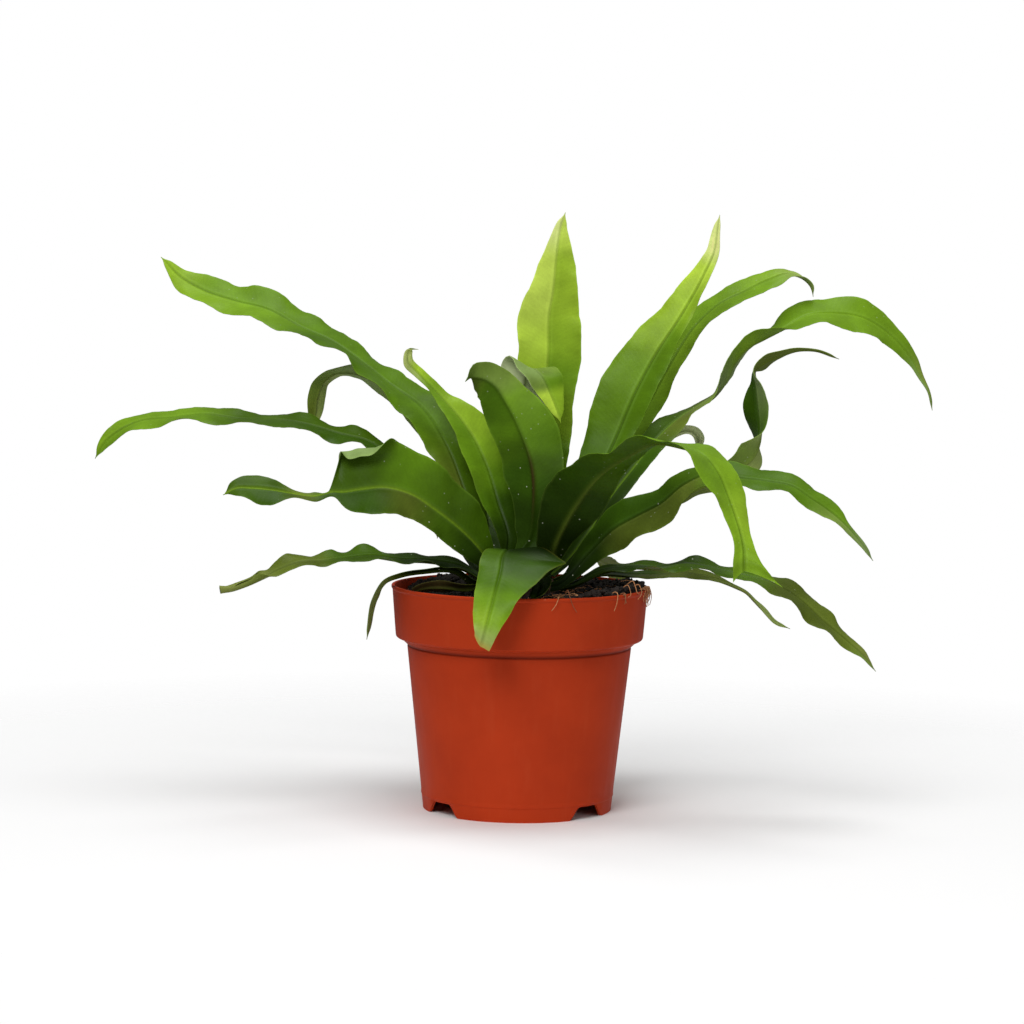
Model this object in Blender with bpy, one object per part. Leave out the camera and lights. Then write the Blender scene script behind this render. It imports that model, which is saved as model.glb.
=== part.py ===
"""Potted fern: a plastic nursery pot with feet, soil, a crown and strap-shaped fronds.

All sizes below are in millimetres. The origin is on the pot's axis at the level that the
feet stand on, +Z is up and the front of the plant faces -Y.
"""

import bpy
import numpy as np

# ---------------------------------------------------------------- driving dimensions
POT_HEIGHT = 105.0          # from the feet to the top of the rim
RIM_RADIUS = 60.0           # outer radius at the top of the rim
BAND_HEIGHT = 25.0          # the thick band under the rim
BAND_TAPER = 2.0            # how much narrower the band is at its lower edge
SHOULDER_DEPTH = 5.3        # step from the band in to the body
SHOULDER_DROP = 2.6
CORNER = 3.0                # rounding of the band's lower edge
BODY_TAPER = 8.4            # how much narrower the body is at the feet
WALL = 1.2
LIP = 0.35                  # small bead around the top edge
LIP_HEIGHT = 1.5
FLOOR_RISE = 8.0            # underside of the floor above the feet
NOTCH_HEIGHT = 6.0          # openings between the three feet
FOOT_HALF_ANGLE = 35.0      # degrees, at the ground
FOOT_FLARE = 8.5            # degrees that each side of a foot leans out over its height
POT_TURN = -2.3             # degrees, the front foot is turned slightly to the left
HOLE_RADIUS = 4.0           # drainage holes in the floor
HOLE_CIRCLE = 27.0
HOLE_COUNT = 6

SOIL_DROP = 4.0             # soil under the crown, below the rim
SOIL_TILT = 6.0             # the soil is heaped towards +X
CROWN_RADIUS = 17.0
CROWN_HEIGHT = 11.0

FOLIAGE_SPREAD = 145.0      # how far the longest frond reaches past the rim
FOLIAGE_RISE = 175.0        # how far the tallest frond rises above the rim
BLADE_THICKNESS = 0.8
KEEL_AT_BASE = 1.6          # the midrib stands out under the blade
KEEL_AT_TIP = 0.3
GAP = 0.3                   # clearance between touching pieces

# Sizes that the fronds' stations were chosen for; they are stretched from these.
STATION_RIM = 60.0
STATION_SPREAD = 145.0
STATION_RISE = 175.0

ROUND_STEPS = 72
MM = 0.001

# ---------------------------------------------------------------- fronds
# Each station is x, y, height above the rim, half width left of the midrib, half width
# right of it and roll in degrees, along the midrib from the crown to the tip.
# "facing" is the direction that the frond leans to, in degrees from +X towards +Y.
# "seat" is where it grows out of the crown: direction and angle down from its top.
# "fold" is how steeply the halves rise from the midrib, "ripple" how much its margin waves.

FRONDS = {
    "frond_left_high": dict(
        facing=158, seat=(166, 48), fold=9, ripple=0.8, steps=20,
        stations=(
            (-20, 11, 23, 5, 5, -28), (-27, 20, 42, 8, 10, -34), (-36, 31, 63, 11, 13, -36),
            (-48, 42, 80, 14, 14, -25), (-65, 50, 92, 16, 13, -10), (-81, 57, 104, 16, 12, -3),
            (-94, 62, 112, 16, 13, -8), (-109, 67, 118, 16, 14, -12), (-125, 72, 126, 15, 14, -25),
            (-142, 76, 130, 12, 12, -30), (-158, 80, 135, 10, 10, -35), (-169, 83, 141, 6, 6, -35),
            (-179, 85, 151, 1, 1, -30))),
    "frond_left_long": dict(
        facing=172, seat=(188, 54), fold=7, ripple=0.8, steps=20,
        stations=(
            (-27, 8, 18, 5, 4, -30), (-40, 16, 36, 7, 5, -25), (-57, 24, 53, 9, 7, -20),
            (-74, 29, 65, 11, 8, -17), (-87, 31, 68, 12, 9, -18), (-102, 33, 72, 12, 9, -15),
            (-116, 35, 74, 11, 9, -15), (-135, 37, 74, 10, 8, -16), (-152, 38, 76, 10, 9, -22),
            (-169, 39, 74, 8, 7, -20), (-184, 40, 72, 8, 7, -32), (-194, 40, 67, 5, 5, -50),
            (-201, 40, 61, 3, 3, -60), (-205, 40, 54, 1, 1, -55))),
    "frond_back_hooked": dict(
        facing=150, seat=(142, 50), fold=7, ripple=0.4, steps=18,
        stations=(
            (-19, 24, 28, 5, 5, 70), (-34, 43, 53, 8, 8, 66), (-56, 62, 80, 9, 9, 60),
            (-72, 69, 92, 9, 9, 48), (-84, 72, 96, 7, 8, 30), (-93, 74, 95, 6, 7, 12),
            (-98, 75, 91, 6, 6, 8), (-101, 75, 84, 5, 6, 18), (-102, 75, 76, 4, 5, 22),
            (-103, 74, 68, 1, 1, 18))),
    "frond_left_broad": dict(
        facing=197, seat=(214, 46), fold=8, ripple=0.6, steps=26,
        stations=(
            (-17, -14, 15, 7, 8, -60), (-27, -22, 27, 11, 15, -70), (-39, -29, 37, 11, 18, -66),
            (-51, -35, 45, 13, 21, -62), (-62, -40, 48, 14, 24, -60), (-74, -43, 47, 13, 26, -58),
            (-81, -45, 46, 10, 22, -55), (-85, -46, 46, 4, 5, -48), (-94, -49, 44, 4, 3, -30),
            (-102, -52, 45, 4, 3, -30), (-112, -55, 47, 9, 6, -42), (-122, -58, 48, 10, 8, -42),
            (-128, -60, 48, 7, 5, -36), (-134, -61, 45, 1, 1, -25))),
    "frond_left_wavy": dict(
        facing=203, seat=(240, 74), fold=6, ripple=1.4, steps=26,
        stations=(
            (-26, -22, 10, 4, 5, -26), (-42, -31, 14, 5, 6, -18), (-55, -38, 15, 5, 7, -14),
            (-68, -44, 17, 6, 9, -16), (-80, -49, 16, 6, 9, -16), (-90, -53, 15, 6, 7, -14),
            (-97, -56, 15, 6, 9, -18), (-105, -60, 13, 5, 7, -18), (-114, -64, 9, 4, 5, -14),
            (-123, -68, 5, 3, 4, -15), (-130, -70, 3, 3, 3, -25), (-134, -71, 2, 3, 3, -45))),
    "frond_left_drooping": dict(
        facing=186, seat=(195, 72), fold=5, ripple=0.2, steps=16,
        stations=(
            (-30, -7, 7, 3, 3, 22), (-45, -10, 7, 3, 3, 20), (-56, -12, 5, 3, 3, 20),
            (-63, -13, 2, 3, 3, 22), (-67, -14, -5, 3, 4, 25), (-69, -14, -13, 3, 4, 25),
            (-70, -14, -19, 2, 3, 25), (-71, -14, -25, 1, 1, 20))),
    "frond_front_torn": dict(
        facing=268, seat=(268, 60), fold=7, ripple=0.6, steps=18,
        stations=(
            (-5, -27, 16, 6, 4, 3), (-6, -40, 19, 12, 6, 8), (-8, -52, 17, 21, 9, 8),
            (-9, -63, 11, 19, 9, 5), (-11, -70, 3, 15, 9, 0), (-13, -74, -4, 10, 8, 0),
            (-15, -76, -12, 6, 6, 0), (-17, -77, -20, 2, 4, 0))),
    "frond_young_curled": dict(
        facing=112, seat=(135, 22), fold=14, ripple=0.5, steps=18,
        stations=(
            (-6, 7, 21, 6, 6, 10), (-11, 13, 37, 9, 10, 3), (-17, 19, 55, 11, 13, 4),
            (-25, 24, 70, 10, 13, 8), (-35, 28, 82, 7, 8, 14), (-43, 31, 90, 4, 5, 18),
            (-50, 32, 97, 3, 4, 20), (-55, 31, 103, 3, 3, 18), (-54, 29, 109, 2, 2, 10),
            (-50, 28, 109, 1, 1, 0))),
    "frond_centre_dark": dict(
        facing=240, seat=(262, 24), fold=12, ripple=0.7, steps=18,
        stations=(
            (4, -9, 22, 8, 8, 5), (6, -10, 39, 12, 12, 8), (5, -8, 56, 15, 16, 8),
            (0, -4, 73, 16, 17, 3), (-8, 1, 86, 15, 15, -8), (-17, 8, 96, 10, 11, -15),
            (-23, 14, 98, 7, 7, -12), (-26, 20, 94, 4, 4, -5), (-26, 24, 88, 1, 1, 0))),
    "frond_centre_folded": dict(
        facing=285, seat=(60, 20), fold=8, ripple=0.4, steps=18,
        stations=(
            (6, 6, 24, 6, 6, 0), (4, 12, 49, 9, 9, 0), (1, 18, 74, 11, 11, 0),
            (0, 19, 92, 11, 11, -8), (3, 16, 101, 11, 11, -14), (9, 11, 97, 10, 9, -22),
            (13, 9, 89, 8, 7, -25), (16, 8, 82, 4, 4, -20), (18, 7, 76, 1, 1, -20))),
    "frond_centre_tall": dict(
        facing=92, seat=(92, 44), fold=14, ripple=0.7, steps=20,
        stations=(
            (8, 27, 34, 8, 9, 0), (9, 34, 64, 12, 14, 0), (11, 37, 90, 14, 14, 0),
            (12, 38, 109, 15, 16, 0), (12, 39, 125, 15, 15, 0), (14, 39, 138, 12, 12, 0),
            (15, 39, 151, 8, 9, 0), (16, 39, 161, 5, 6, 0), (17, 39, 168, 3, 3, 0),
            (19, 38, 175, 1, 1, 0))),
    "frond_right_tall": dict(
        facing=60, seat=(30, 44), fold=14, ripple=0.6, steps=20,
        stations=(
            (24, 15, 26, 5, 5, 0), (34, 23, 46, 10, 7, 8), (44, 32, 66, 15, 8, 10),
            (54, 36, 90, 18, 10, 10), (64, 39, 109, 15, 9, 8), (75, 42, 126, 11, 6, 5),
            (86, 45, 146, 7, 4, 0), (91, 46, 158, 4, 3, -5), (92, 46, 166, 3, 2, -10),
            (93, 46, 175, 1, 1, -15))),
    "frond_right_high": dict(
        facing=48, seat=(56, 62), fold=8, ripple=0.5, steps=20,
        stations=(
            (31, 35, 33, 6, 6, 12), (48, 53, 61, 9, 8, 12), (62, 62, 84, 11, 8, 10),
            (73, 68, 104, 11, 7, 4), (84, 72, 121, 10, 7, 0), (96, 75, 132, 10, 9, 0),
            (108, 78, 138, 9, 10, 8), (120, 81, 144, 8, 8, 15), (130, 83, 147, 5, 5, 18),
            (137, 84, 145, 4, 4, 28), (141, 84, 141, 3, 3, 35), (142, 84, 136, 1, 1, 40))),
    "frond_right_arching": dict(
        facing=25, seat=(8, 50), fold=8, ripple=0.7, steps=26,
        stations=(
            (30, 3, 22, 5, 5, 22), (41, 7, 40, 7, 7, 25), (53, 16, 55, 8, 8, 22),
            (65, 27, 69, 9, 9, 18), (76, 41, 78, 9, 9, 5), (86, 49, 84, 9, 9, -10),
            (92, 53, 88, 9, 9, -22), (97, 56, 94, 9, 9, -36), (102, 59, 104, 9, 9, -45),
            (108, 62, 111, 10, 10, -42), (117, 66, 116, 11, 11, -22), (127, 70, 121, 11, 12, 4),
            (139, 74, 127, 12, 13, 20), (152, 78, 128, 12, 13, 36), (166, 81, 126, 11, 12, 50),
            (177, 83, 120, 9, 9, 60), (185, 84, 113, 6, 6, 66), (191, 85, 106, 4, 4, 70),
            (196, 85, 97, 2, 2, 70), (200, 85, 90, 1, 1, 66), (202, 85, 81, 1, 1, 65))),
    "frond_right_twisted": dict(
        facing=22, seat=(346, 64), fold=6, ripple=0.3, steps=26,
        stations=(
            (37, 1, 17, 4, 4, -58), (61, 10, 34, 5, 5, -55), (82, 17, 45, 6, 6, -52),
            (100, 22, 53, 9, 9, -58), (110, 25, 61, 11, 11, -62), (113, 28, 72, 10, 9, -10),
            (112, 30, 84, 10, 9, 12), (111, 31, 94, 8, 8, -2), (110, 32, 101, 6, 6, -26),
            (115, 33, 105, 7, 6, -44), (122, 35, 108, 5, 5, -32), (131, 37, 111, 3, 3, -20),
            (139, 38, 111, 2, 2, -12), (151, 39, 107, 1, 1, -15))),
    "frond_right_forked": dict(
        facing=318, seat=(318, 46), fold=8, ripple=0.7, steps=24,
        stations=(
            (16, -24, 22, 8, 9, -30), (25, -38, 41, 13, 16, -42), (36, -52, 57, 12, 15, -22),
            (48, -64, 66, 12, 14, -3), (59, -73, 72, 13, 13, -6), (70, -81, 71, 13, 13, -8),
            (79, -88, 68, 13, 14, -4), (86, -93, 60, 12, 15, 0), (89, -96, 51, 12, 14, 0),
            (91, -98, 43, 11, 13, 0), (94, -99, 34, 8, 10, 0), (97, -99, 26, 7, 8, 0),
            (100, -99, 19, 6, 7, -10), (106, -99, 14, 3, 3, -25), (110, -99, 12, 2, 2, -40),
            (115, -99, 11, 1, 1, -45))),
    "frond_right_middle": dict(
        facing=340, seat=(322, 72), fold=7, ripple=1.0, steps=22,
        stations=(
            (32, -18, 17, 8, 8, 55), (43, -25, 29, 11, 12, 60), (54, -31, 36, 11, 14, 50),
            (64, -36, 42, 10, 16, 46), (74, -41, 51, 9, 13, 40), (84, -45, 56, 10, 10, 30),
            (99, -50, 55, 11, 10, 24), (111, -54, 54, 10, 9, 20), (122, -57, 52, 9, 9, 20),
            (130, -60, 47, 8, 8, 20), (139, -62, 41, 6, 7, 20), (147, -64, 34, 3, 4, 20),
            (153, -65, 27, 2, 2, 18), (158, -65, 20, 1, 1, 12))),
    "frond_right_low": dict(
        facing=352, seat=(350, 76), fold=6, ripple=1.3, steps=22,
        stations=(
            (37, -10, 8, 5, 6, 16), (51, -13, 11, 6, 8, 8), (65, -16, 11, 7, 9, 7),
            (76, -19, 13, 8, 10, 12), (86, -21, 12, 8, 11, 10), (96, -23, 10, 8, 11, 10),
            (106, -25, 8, 8, 11, 12), (117, -27, 5, 9, 11, 16), (129, -29, -2, 9, 10, 22),
            (139, -31, -11, 8, 9, 25), (150, -32, -20, 5, 6, 25), (158, -33, -27, 3, 3, 22),
            (164, -33, -34, 1, 1, 18))),
    "frond_right_thin": dict(
        facing=4, seat=(14, 80), fold=5, ripple=0.4, steps=18,
        stations=(
            (35, 7, 5, 4, 4, 15), (54, 8, 5, 6, 6, 10), (65, 9, 5, 7, 7, 12),
            (76, 10, 6, 7, 7, 18), (85, 11, 5, 6, 6, 18), (93, 11, 3, 5, 5, 14),
            (101, 12, 0, 3, 3, 10), (107, 12, -3, 2, 2, 10), (111, 12, -7, 2, 2, 15),
            (116, 12, -12, 3, 3, 25), (121, 12, -17, 2, 2, 25), (128, 12, -20, 1, 1, 20))),
    "frond_back_curled": dict(
        facing=52, seat=(38, 76), fold=5, ripple=0.2, steps=18,
        stations=(
            (38, 36, 26, 3, 3, -70), (56, 52, 50, 4, 4, -75), (70, 61, 66, 4, 4, -72),
            (77, 65, 70, 4, 4, -50), (83, 68, 70, 4, 4, -20), (86, 70, 67, 4, 4, 8),
            (86, 70, 61, 2, 2, 18), (83, 69, 56, 1, 1, 20))),
    "frond_back_left": dict(
        facing=118, seat=(112, 74), fold=8, ripple=0.7, steps=18,
        stations=(
            (-8, 34, 14, 6, 6, 0), (-16, 50, 24, 10, 10, 4), (-24, 66, 30, 12, 12, 6),
            (-31, 80, 31, 12, 12, 6), (-36, 93, 27, 9, 9, 4), (-40, 102, 20, 5, 5, 0),
            (-42, 108, 12, 1, 1, 0))),
    "frond_back_middle": dict(
        facing=88, seat=(84, 78), fold=8, ripple=0.7, steps=18,
        stations=(
            (6, 34, 18, 6, 6, 0), (8, 50, 32, 10, 10, -4), (10, 65, 41, 12, 12, -6),
            (12, 80, 44, 12, 12, -6), (13, 93, 41, 9, 9, -4), (14, 103, 34, 5, 5, 0),
            (14, 109, 26, 1, 1, 0))),
    "frond_back_right": dict(
        facing=66, seat=(62, 76), fold=8, ripple=0.7, steps=18,
        stations=(
            (18, 32, 8, 6, 6, 0), (26, 48, 12, 9, 9, 4), (33, 64, 13, 11, 11, 6),
            (40, 80, 10, 11, 11, 6), (46, 93, 4, 8, 8, 4), (50, 102, -5, 4, 4, 0),
            (52, 107, -13, 1, 1, 0))),
    "old_leaf_base": dict(
        facing=205, seat=(215, 76), fold=4, ripple=0.3, steps=10,
        stations=(
            (-25, -18, 0, 4, 4, 25), (-36, -22, 1, 5, 5, 35), (-46, -22, 0, 4, 4, 40),
            (-52, -20, -3, 1, 1, 45))),
    "frond_front_small": dict(
        facing=290, seat=(292, 76), fold=8, ripple=0.3, steps=10,
        stations=(
            (9, -30, 5, 4, 4, 20), (10, -42, 4, 5, 5, 30), (8, -52, 1, 4, 4, 30),
            (5, -57, -1, 1, 1, 30))),
}

COLOURS = {
    "pot": (0.39, 0.035, 0.012),
    "soil": (0.016, 0.011, 0.008),
    "crown": (0.05, 0.035, 0.018),
    "blade": (0.07, 0.18, 0.012),
    "young_blade": (0.25, 0.42, 0.03),
    "old_blade": (0.12, 0.11, 0.03),
}
YOUNG_FRONDS = ("frond_centre_tall", "frond_right_tall", "frond_young_curled", "frond_front_torn")


# ---------------------------------------------------------------- scene helpers
def clear_scene():
    for item in list(bpy.data.objects):
        bpy.data.objects.remove(item, do_unlink=True)


def make_material(name, colour, roughness):
    material = bpy.data.materials.new(name)
    material.use_nodes = True
    surface = material.node_tree.nodes["Principled BSDF"]
    surface.inputs["Base Color"].default_value = (*colour, 1.0)
    surface.inputs["Roughness"].default_value = roughness
    surface.inputs["Metallic"].default_value = 0.0
    return material


def add_object(name, points, faces, material):
    """Make an object from points in millimetres, at its place in the pot's frame."""
    mesh = bpy.data.meshes.new(name)
    mesh.from_pydata((np.asarray(points) * MM).tolist(), [], faces)
    mesh.materials.append(material)
    mesh.shade_smooth()
    mesh.set_sharp_from_angle(angle=np.radians(35.0))
    item = bpy.data.objects.new(name, mesh)
    bpy.context.scene.collection.objects.link(item)
    return item


# ---------------------------------------------------------------- meshes from rings
def ring_faces(rings, ring_size, closed_along=False):
    """Quads between successive rings, each ring a closed loop of points."""
    faces = []
    last = rings if closed_along else rings - 1
    for row in range(last):
        here = row * ring_size
        beyond = ((row + 1) % rings) * ring_size
        for step in range(ring_size):
            right = (step + 1) % ring_size
            faces.append((here + step, beyond + step, beyond + right, here + right))
    return faces


def cap_faces(rings, ring_size):
    """Close both ends of a tube of rings."""
    first = tuple(range(ring_size))
    last = tuple(reversed(range((rings - 1) * ring_size, rings * ring_size)))
    return [first, last]


# ---------------------------------------------------------------- pot
def band_radius(height):
    """Outer radius of the tapered band at a height."""
    return RIM_RADIUS - BAND_TAPER * (POT_HEIGHT - height) / BAND_HEIGHT


def body_top_radius():
    return RIM_RADIUS - BAND_TAPER - SHOULDER_DEPTH


def body_radius(height):
    """Outer radius of the body below the shoulder."""
    top = POT_HEIGHT - BAND_HEIGHT - SHOULDER_DROP
    return body_top_radius() - BODY_TAPER * (top - height) / top


def inner_radius(height):
    """Inner radius of the pot's wall above its floor."""
    band_bottom = POT_HEIGHT - BAND_HEIGHT
    body_top = band_bottom - SHOULDER_DROP
    heights = (0.0, body_top - WALL, band_bottom + WALL, POT_HEIGHT)
    radii = (
        body_radius(0.0) - WALL,
        body_radius(body_top) - WALL,
        band_radius(band_bottom + WALL) - WALL,
        RIM_RADIUS - WALL,
    )
    return float(np.interp(height, heights, radii))


def notch_lift(angle):
    """Height of the pot's lower edge at an angle: zero on the three feet."""
    from_foot = abs((angle - POT_TURN + 60.0) % 120.0 - 60.0)
    share = (from_foot - FOOT_HALF_ANGLE) / FOOT_FLARE
    share = min(max(share, 0.0), 1.0)
    return NOTCH_HEIGHT * share * share * (3.0 - 2.0 * share)


def pot_profile():
    """Radius, height and whether the point follows the feet, down the outside and back up."""
    band_bottom = POT_HEIGHT - BAND_HEIGHT
    body_top = band_bottom - SHOULDER_DROP
    floor_top = FLOOR_RISE + WALL
    return (
        (RIM_RADIUS, POT_HEIGHT, 0),
        (RIM_RADIUS + LIP, POT_HEIGHT - 0.4, 0),
        (RIM_RADIUS + LIP, POT_HEIGHT - LIP_HEIGHT + 0.4, 0),
        (band_radius(POT_HEIGHT - LIP_HEIGHT), POT_HEIGHT - LIP_HEIGHT, 0),
        (band_radius(band_bottom + CORNER), band_bottom + CORNER, 0),
        (band_radius(band_bottom) - 0.13 * CORNER, band_bottom + 0.5 * CORNER, 0),
        (band_radius(band_bottom) - 0.5 * CORNER, band_bottom + 0.07 * CORNER, 0),
        (body_radius(body_top), body_top, 0),
        (body_radius(FLOOR_RISE + WALL), FLOOR_RISE + WALL, 0),
        (body_radius(0.0), 0.0, 1),
        (body_radius(0.0) - WALL, 0.0, 1),
        (body_radius(FLOOR_RISE) - WALL, FLOOR_RISE, 0),
        (HOLE_RADIUS, FLOOR_RISE, 0),
        (HOLE_RADIUS, floor_top, 0),
        (inner_radius(floor_top), floor_top, 0),
        (inner_radius(body_top - WALL), body_top - WALL, 0),
        (inner_radius(band_bottom + WALL), band_bottom + WALL, 0),
        (RIM_RADIUS - WALL, POT_HEIGHT, 0),
    )


def make_pot():
    profile = pot_profile()
    points = []
    for step in range(ROUND_STEPS):
        angle = 360.0 * step / ROUND_STEPS + POT_TURN
        across = np.radians(angle - 90.0)
        for radius, height, follows_feet in profile:
            lift = notch_lift(angle) if follows_feet else 0.0
            points.append((radius * np.cos(across), radius * np.sin(across), height + lift))
    faces = [tuple(reversed(face)) for face in ring_faces(ROUND_STEPS, len(profile), True)]
    material = make_material("terracotta_plastic", COLOURS["pot"], 0.45)
    pot = add_object("pot", points, faces, material)
    for number in range(HOLE_COUNT):
        drill_hole(pot, number)
    return pot


def drill_hole(pot, number):
    """Cut one drainage hole through the pot's floor."""
    across = np.radians(360.0 * (number + 0.5) / HOLE_COUNT - 90.0)
    centre = (HOLE_CIRCLE * np.cos(across) * MM, HOLE_CIRCLE * np.sin(across) * MM, FLOOR_RISE * MM)
    bpy.ops.mesh.primitive_cylinder_add(
        vertices=14, radius=HOLE_RADIUS * MM, depth=(WALL + 4.0) * 2.0 * MM, location=centre)
    cutter = bpy.context.object
    cutter.name = f"hole_cutter_{number + 1}"
    cutter.hide_render = True
    cutter.display_type = "WIRE"
    cut = pot.modifiers.new(f"hole_{number + 1}", "BOOLEAN")
    cut.operation = "DIFFERENCE"
    cut.solver = "EXACT"
    cut.object = cutter


# ---------------------------------------------------------------- soil and crown
def soil_level():
    """Height of the level patch that the crown stands on."""
    return POT_HEIGHT - SOIL_DROP


def soil_height(x, y):
    """Height of the soil: level under the crown, heaped to +X and uneven elsewhere."""
    away = np.hypot(x, y) / inner_radius(POT_HEIGHT)
    level = CROWN_RADIUS * 1.15 / inner_radius(POT_HEIGHT)
    share = max(0.0, (away - level) / (1.0 - level))
    heap = SOIL_TILT * x / RIM_RADIUS
    lumps = np.sin(0.21 * x + 1.0) * np.cos(0.17 * y) + 0.6 * np.sin(0.31 * y + 0.13 * x)
    return soil_level() + share * (heap + 0.7 * lumps - 1.0)


def soil_radius(height):
    """Radius that clears the pot's wall, which is flat between its corners."""
    return inner_radius(height) * np.cos(np.pi / ROUND_STEPS) - GAP


def soil_ring(radius, steps):
    """Points around one level of the soil, in line with the pot's corners."""
    around = np.radians(POT_TURN - 90.0) + np.linspace(0.0, 2.0 * np.pi, steps, endpoint=False)
    return np.column_stack((radius * np.cos(around), radius * np.sin(around)))


def make_soil():
    """The soil and root ball: one plug that fills the pot."""
    floor_top = FLOOR_RISE + WALL + GAP
    body_top = POT_HEIGHT - BAND_HEIGHT - SHOULDER_DROP
    band_bottom = POT_HEIGHT - BAND_HEIGHT + WALL + 2.0 * GAP
    edge = soil_level() - SOIL_TILT - 3.0
    side_heights = (floor_top, body_top - WALL - GAP, band_bottom)
    top_shares = (1.0, 0.86, 0.66, 0.42, 0.2)
    steps = ROUND_STEPS // 2
    points = [(0.0, 0.0, floor_top)]
    for height in side_heights:
        for x, y in soil_ring(soil_radius(height), steps):
            points.append((x, y, height))
    for share in top_shares:
        for x, y in soil_ring(soil_radius(edge) * share, steps):
            points.append((x, y, soil_height(x, y)))
    points.append((0.0, 0.0, soil_level()))
    rings = len(side_heights) + len(top_shares)
    faces = [tuple(corner + 1 for corner in reversed(face)) for face in ring_faces(rings, steps)]
    last_ring = 1 + (rings - 1) * steps
    for step in range(steps):
        right = (step + 1) % steps
        faces.append((0, 1 + right, 1 + step))
        faces.append((len(points) - 1, last_ring + step, last_ring + right))
    return add_object("soil", points, faces, make_material("peat", COLOURS["soil"], 0.95))


def crown_surface(direction, down, lift):
    """Point on the crown: direction in plan and angle down from its top, in degrees."""
    around, tilt = np.radians(direction), np.radians(down)
    out = (CROWN_RADIUS + lift) * np.sin(tilt)
    height = soil_level() + GAP + (CROWN_HEIGHT + lift) * np.cos(tilt)
    return np.array((out * np.cos(around), out * np.sin(around), height))


def make_crown():
    """The short rhizome that every frond grows from: a flat-bottomed dome."""
    steps = 28
    points = []
    for down in (88.0, 74.0, 58.0, 40.0, 20.0):
        for step in range(steps):
            points.append(crown_surface(360.0 * step / steps, down, 0.0))
    for point in points[:steps]:
        point[2] = soil_level() + GAP
    points.append(crown_surface(0.0, 0.0, 0.0))
    top = len(points) - 1
    faces = [tuple(reversed(face)) for face in ring_faces(5, steps)]
    faces.append(tuple(reversed(range(steps))))
    for step in range(steps):
        faces.append((top, 4 * steps + step, 4 * steps + (step + 1) % steps))
    return add_object("crown", points, faces, make_material("rhizome", COLOURS["crown"], 0.9))


# ---------------------------------------------------------------- fronds
def place(x, y, height):
    """Move a station to the pot and foliage sizes that are set above."""
    out = np.hypot(x, y)
    inside = min(out, STATION_RIM) * RIM_RADIUS / STATION_RIM
    beyond = max(out - STATION_RIM, 0.0) * FOLIAGE_SPREAD / STATION_SPREAD
    scale = (inside + beyond) / out
    rise = height * FOLIAGE_RISE / STATION_RISE
    return np.array((x * scale, y * scale, POT_HEIGHT + rise))


def smooth_stations(rows, steps):
    """Read a smooth curve through the stations at even steps along its length."""
    rows = np.asarray(rows, float)
    along = np.concatenate(([0.0], np.cumsum(np.linalg.norm(np.diff(rows[:, :3], axis=0), axis=1))))
    slope = np.gradient(rows, along, axis=0)
    result = []
    for distance in np.linspace(0.0, along[-1], steps):
        index = min(int(np.searchsorted(along, distance, side="right")) - 1, len(rows) - 2)
        span = along[index + 1] - along[index]
        t = (distance - along[index]) / span
        result.append(
            rows[index] * (2 * t**3 - 3 * t**2 + 1)
            + rows[index + 1] * (3 * t**2 - 2 * t**3)
            + slope[index] * span * (t**3 - 2 * t**2 + t)
            + slope[index + 1] * span * (t**3 - t**2))
    return np.array(result)


def unit(vector):
    return vector / np.linalg.norm(vector)


def frond_rows(frond):
    """The frond's stations in the pot's frame, starting on the crown."""
    direction, down = frond["seat"]
    start = crown_surface(direction, down, KEEL_AT_BASE + BLADE_THICKNESS + GAP)
    lead = crown_surface(direction, down, 7.0)
    first = frond["stations"][0]
    rows = [(*start, 2.6, 2.6, first[5]), (*lead, 2.8, 2.8, first[5])]
    for x, y, height, left, right, roll in frond["stations"]:
        rows.append((*place(x, y, height), left, right, roll))
    return rows


def frond_rings(frond, steps, across):
    """Rings of points around the blade, from its base to its tip."""
    curve = smooth_stations(frond_rows(frond), steps)
    centres = curve[:, :3]
    tangents = np.gradient(centres, axis=0)
    facing = np.radians(frond["facing"])
    side = np.array((-np.sin(facing), np.cos(facing), 0.0))
    length = np.concatenate(([0.0], np.cumsum(np.linalg.norm(np.diff(centres, axis=0), axis=1))))
    fold = np.tan(np.radians(frond["fold"]))
    rings = []
    for index, centre in enumerate(centres):
        tangent = unit(tangents[index])
        level = unit(side - tangent * (side @ tangent))
        upright = np.cross(tangent, level)
        roll = np.radians(curve[index, 5])
        wide = level * np.cos(roll) + upright * np.sin(roll)
        normal = upright * np.cos(roll) - level * np.sin(roll)
        share = length[index] / length[-1]
        keel = KEEL_AT_BASE + (KEEL_AT_TIP - KEEL_AT_BASE) * share
        top, bottom = [], []
        for u in across:
            half = max(curve[index, 3] if u > 0 else curve[index, 4], 0.5)
            wave = frond["ripple"] * np.sin(length[index] / 5.0 + (1.3 if u > 0 else 0.0))
            wave *= u * u * min(half / 8.0, 1.0) * min(1.0, 4.0 * share)
            lift = fold * abs(u) * half + wave
            middle = centre + wide * (u * half) + normal * lift
            under = keel if u == 0 else 0.0
            top.append(middle + normal * BLADE_THICKNESS / 2.0)
            bottom.append(middle - normal * (BLADE_THICKNESS / 2.0 + under))
        rings.append(top + bottom[::-1])
    return rings


def make_frond(name, frond, material):
    rings = frond_rings(frond, frond["steps"], (-1.0, -0.5, 0.0, 0.5, 1.0))
    ring_size = len(rings[0])
    points = [point for ring in rings for point in ring]
    faces = ring_faces(len(rings), ring_size) + cap_faces(len(rings), ring_size)
    return add_object(name, points, faces, material)


def make_fronds():
    blade = make_material("blade", COLOURS["blade"], 0.4)
    young = make_material("young_blade", COLOURS["young_blade"], 0.4)
    old = make_material("old_blade", COLOURS["old_blade"], 0.7)
    for name, frond in FRONDS.items():
        material = young if name in YOUNG_FRONDS else blade
        material = old if name == "old_leaf_base" else material
        make_frond(name, frond, material)


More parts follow.
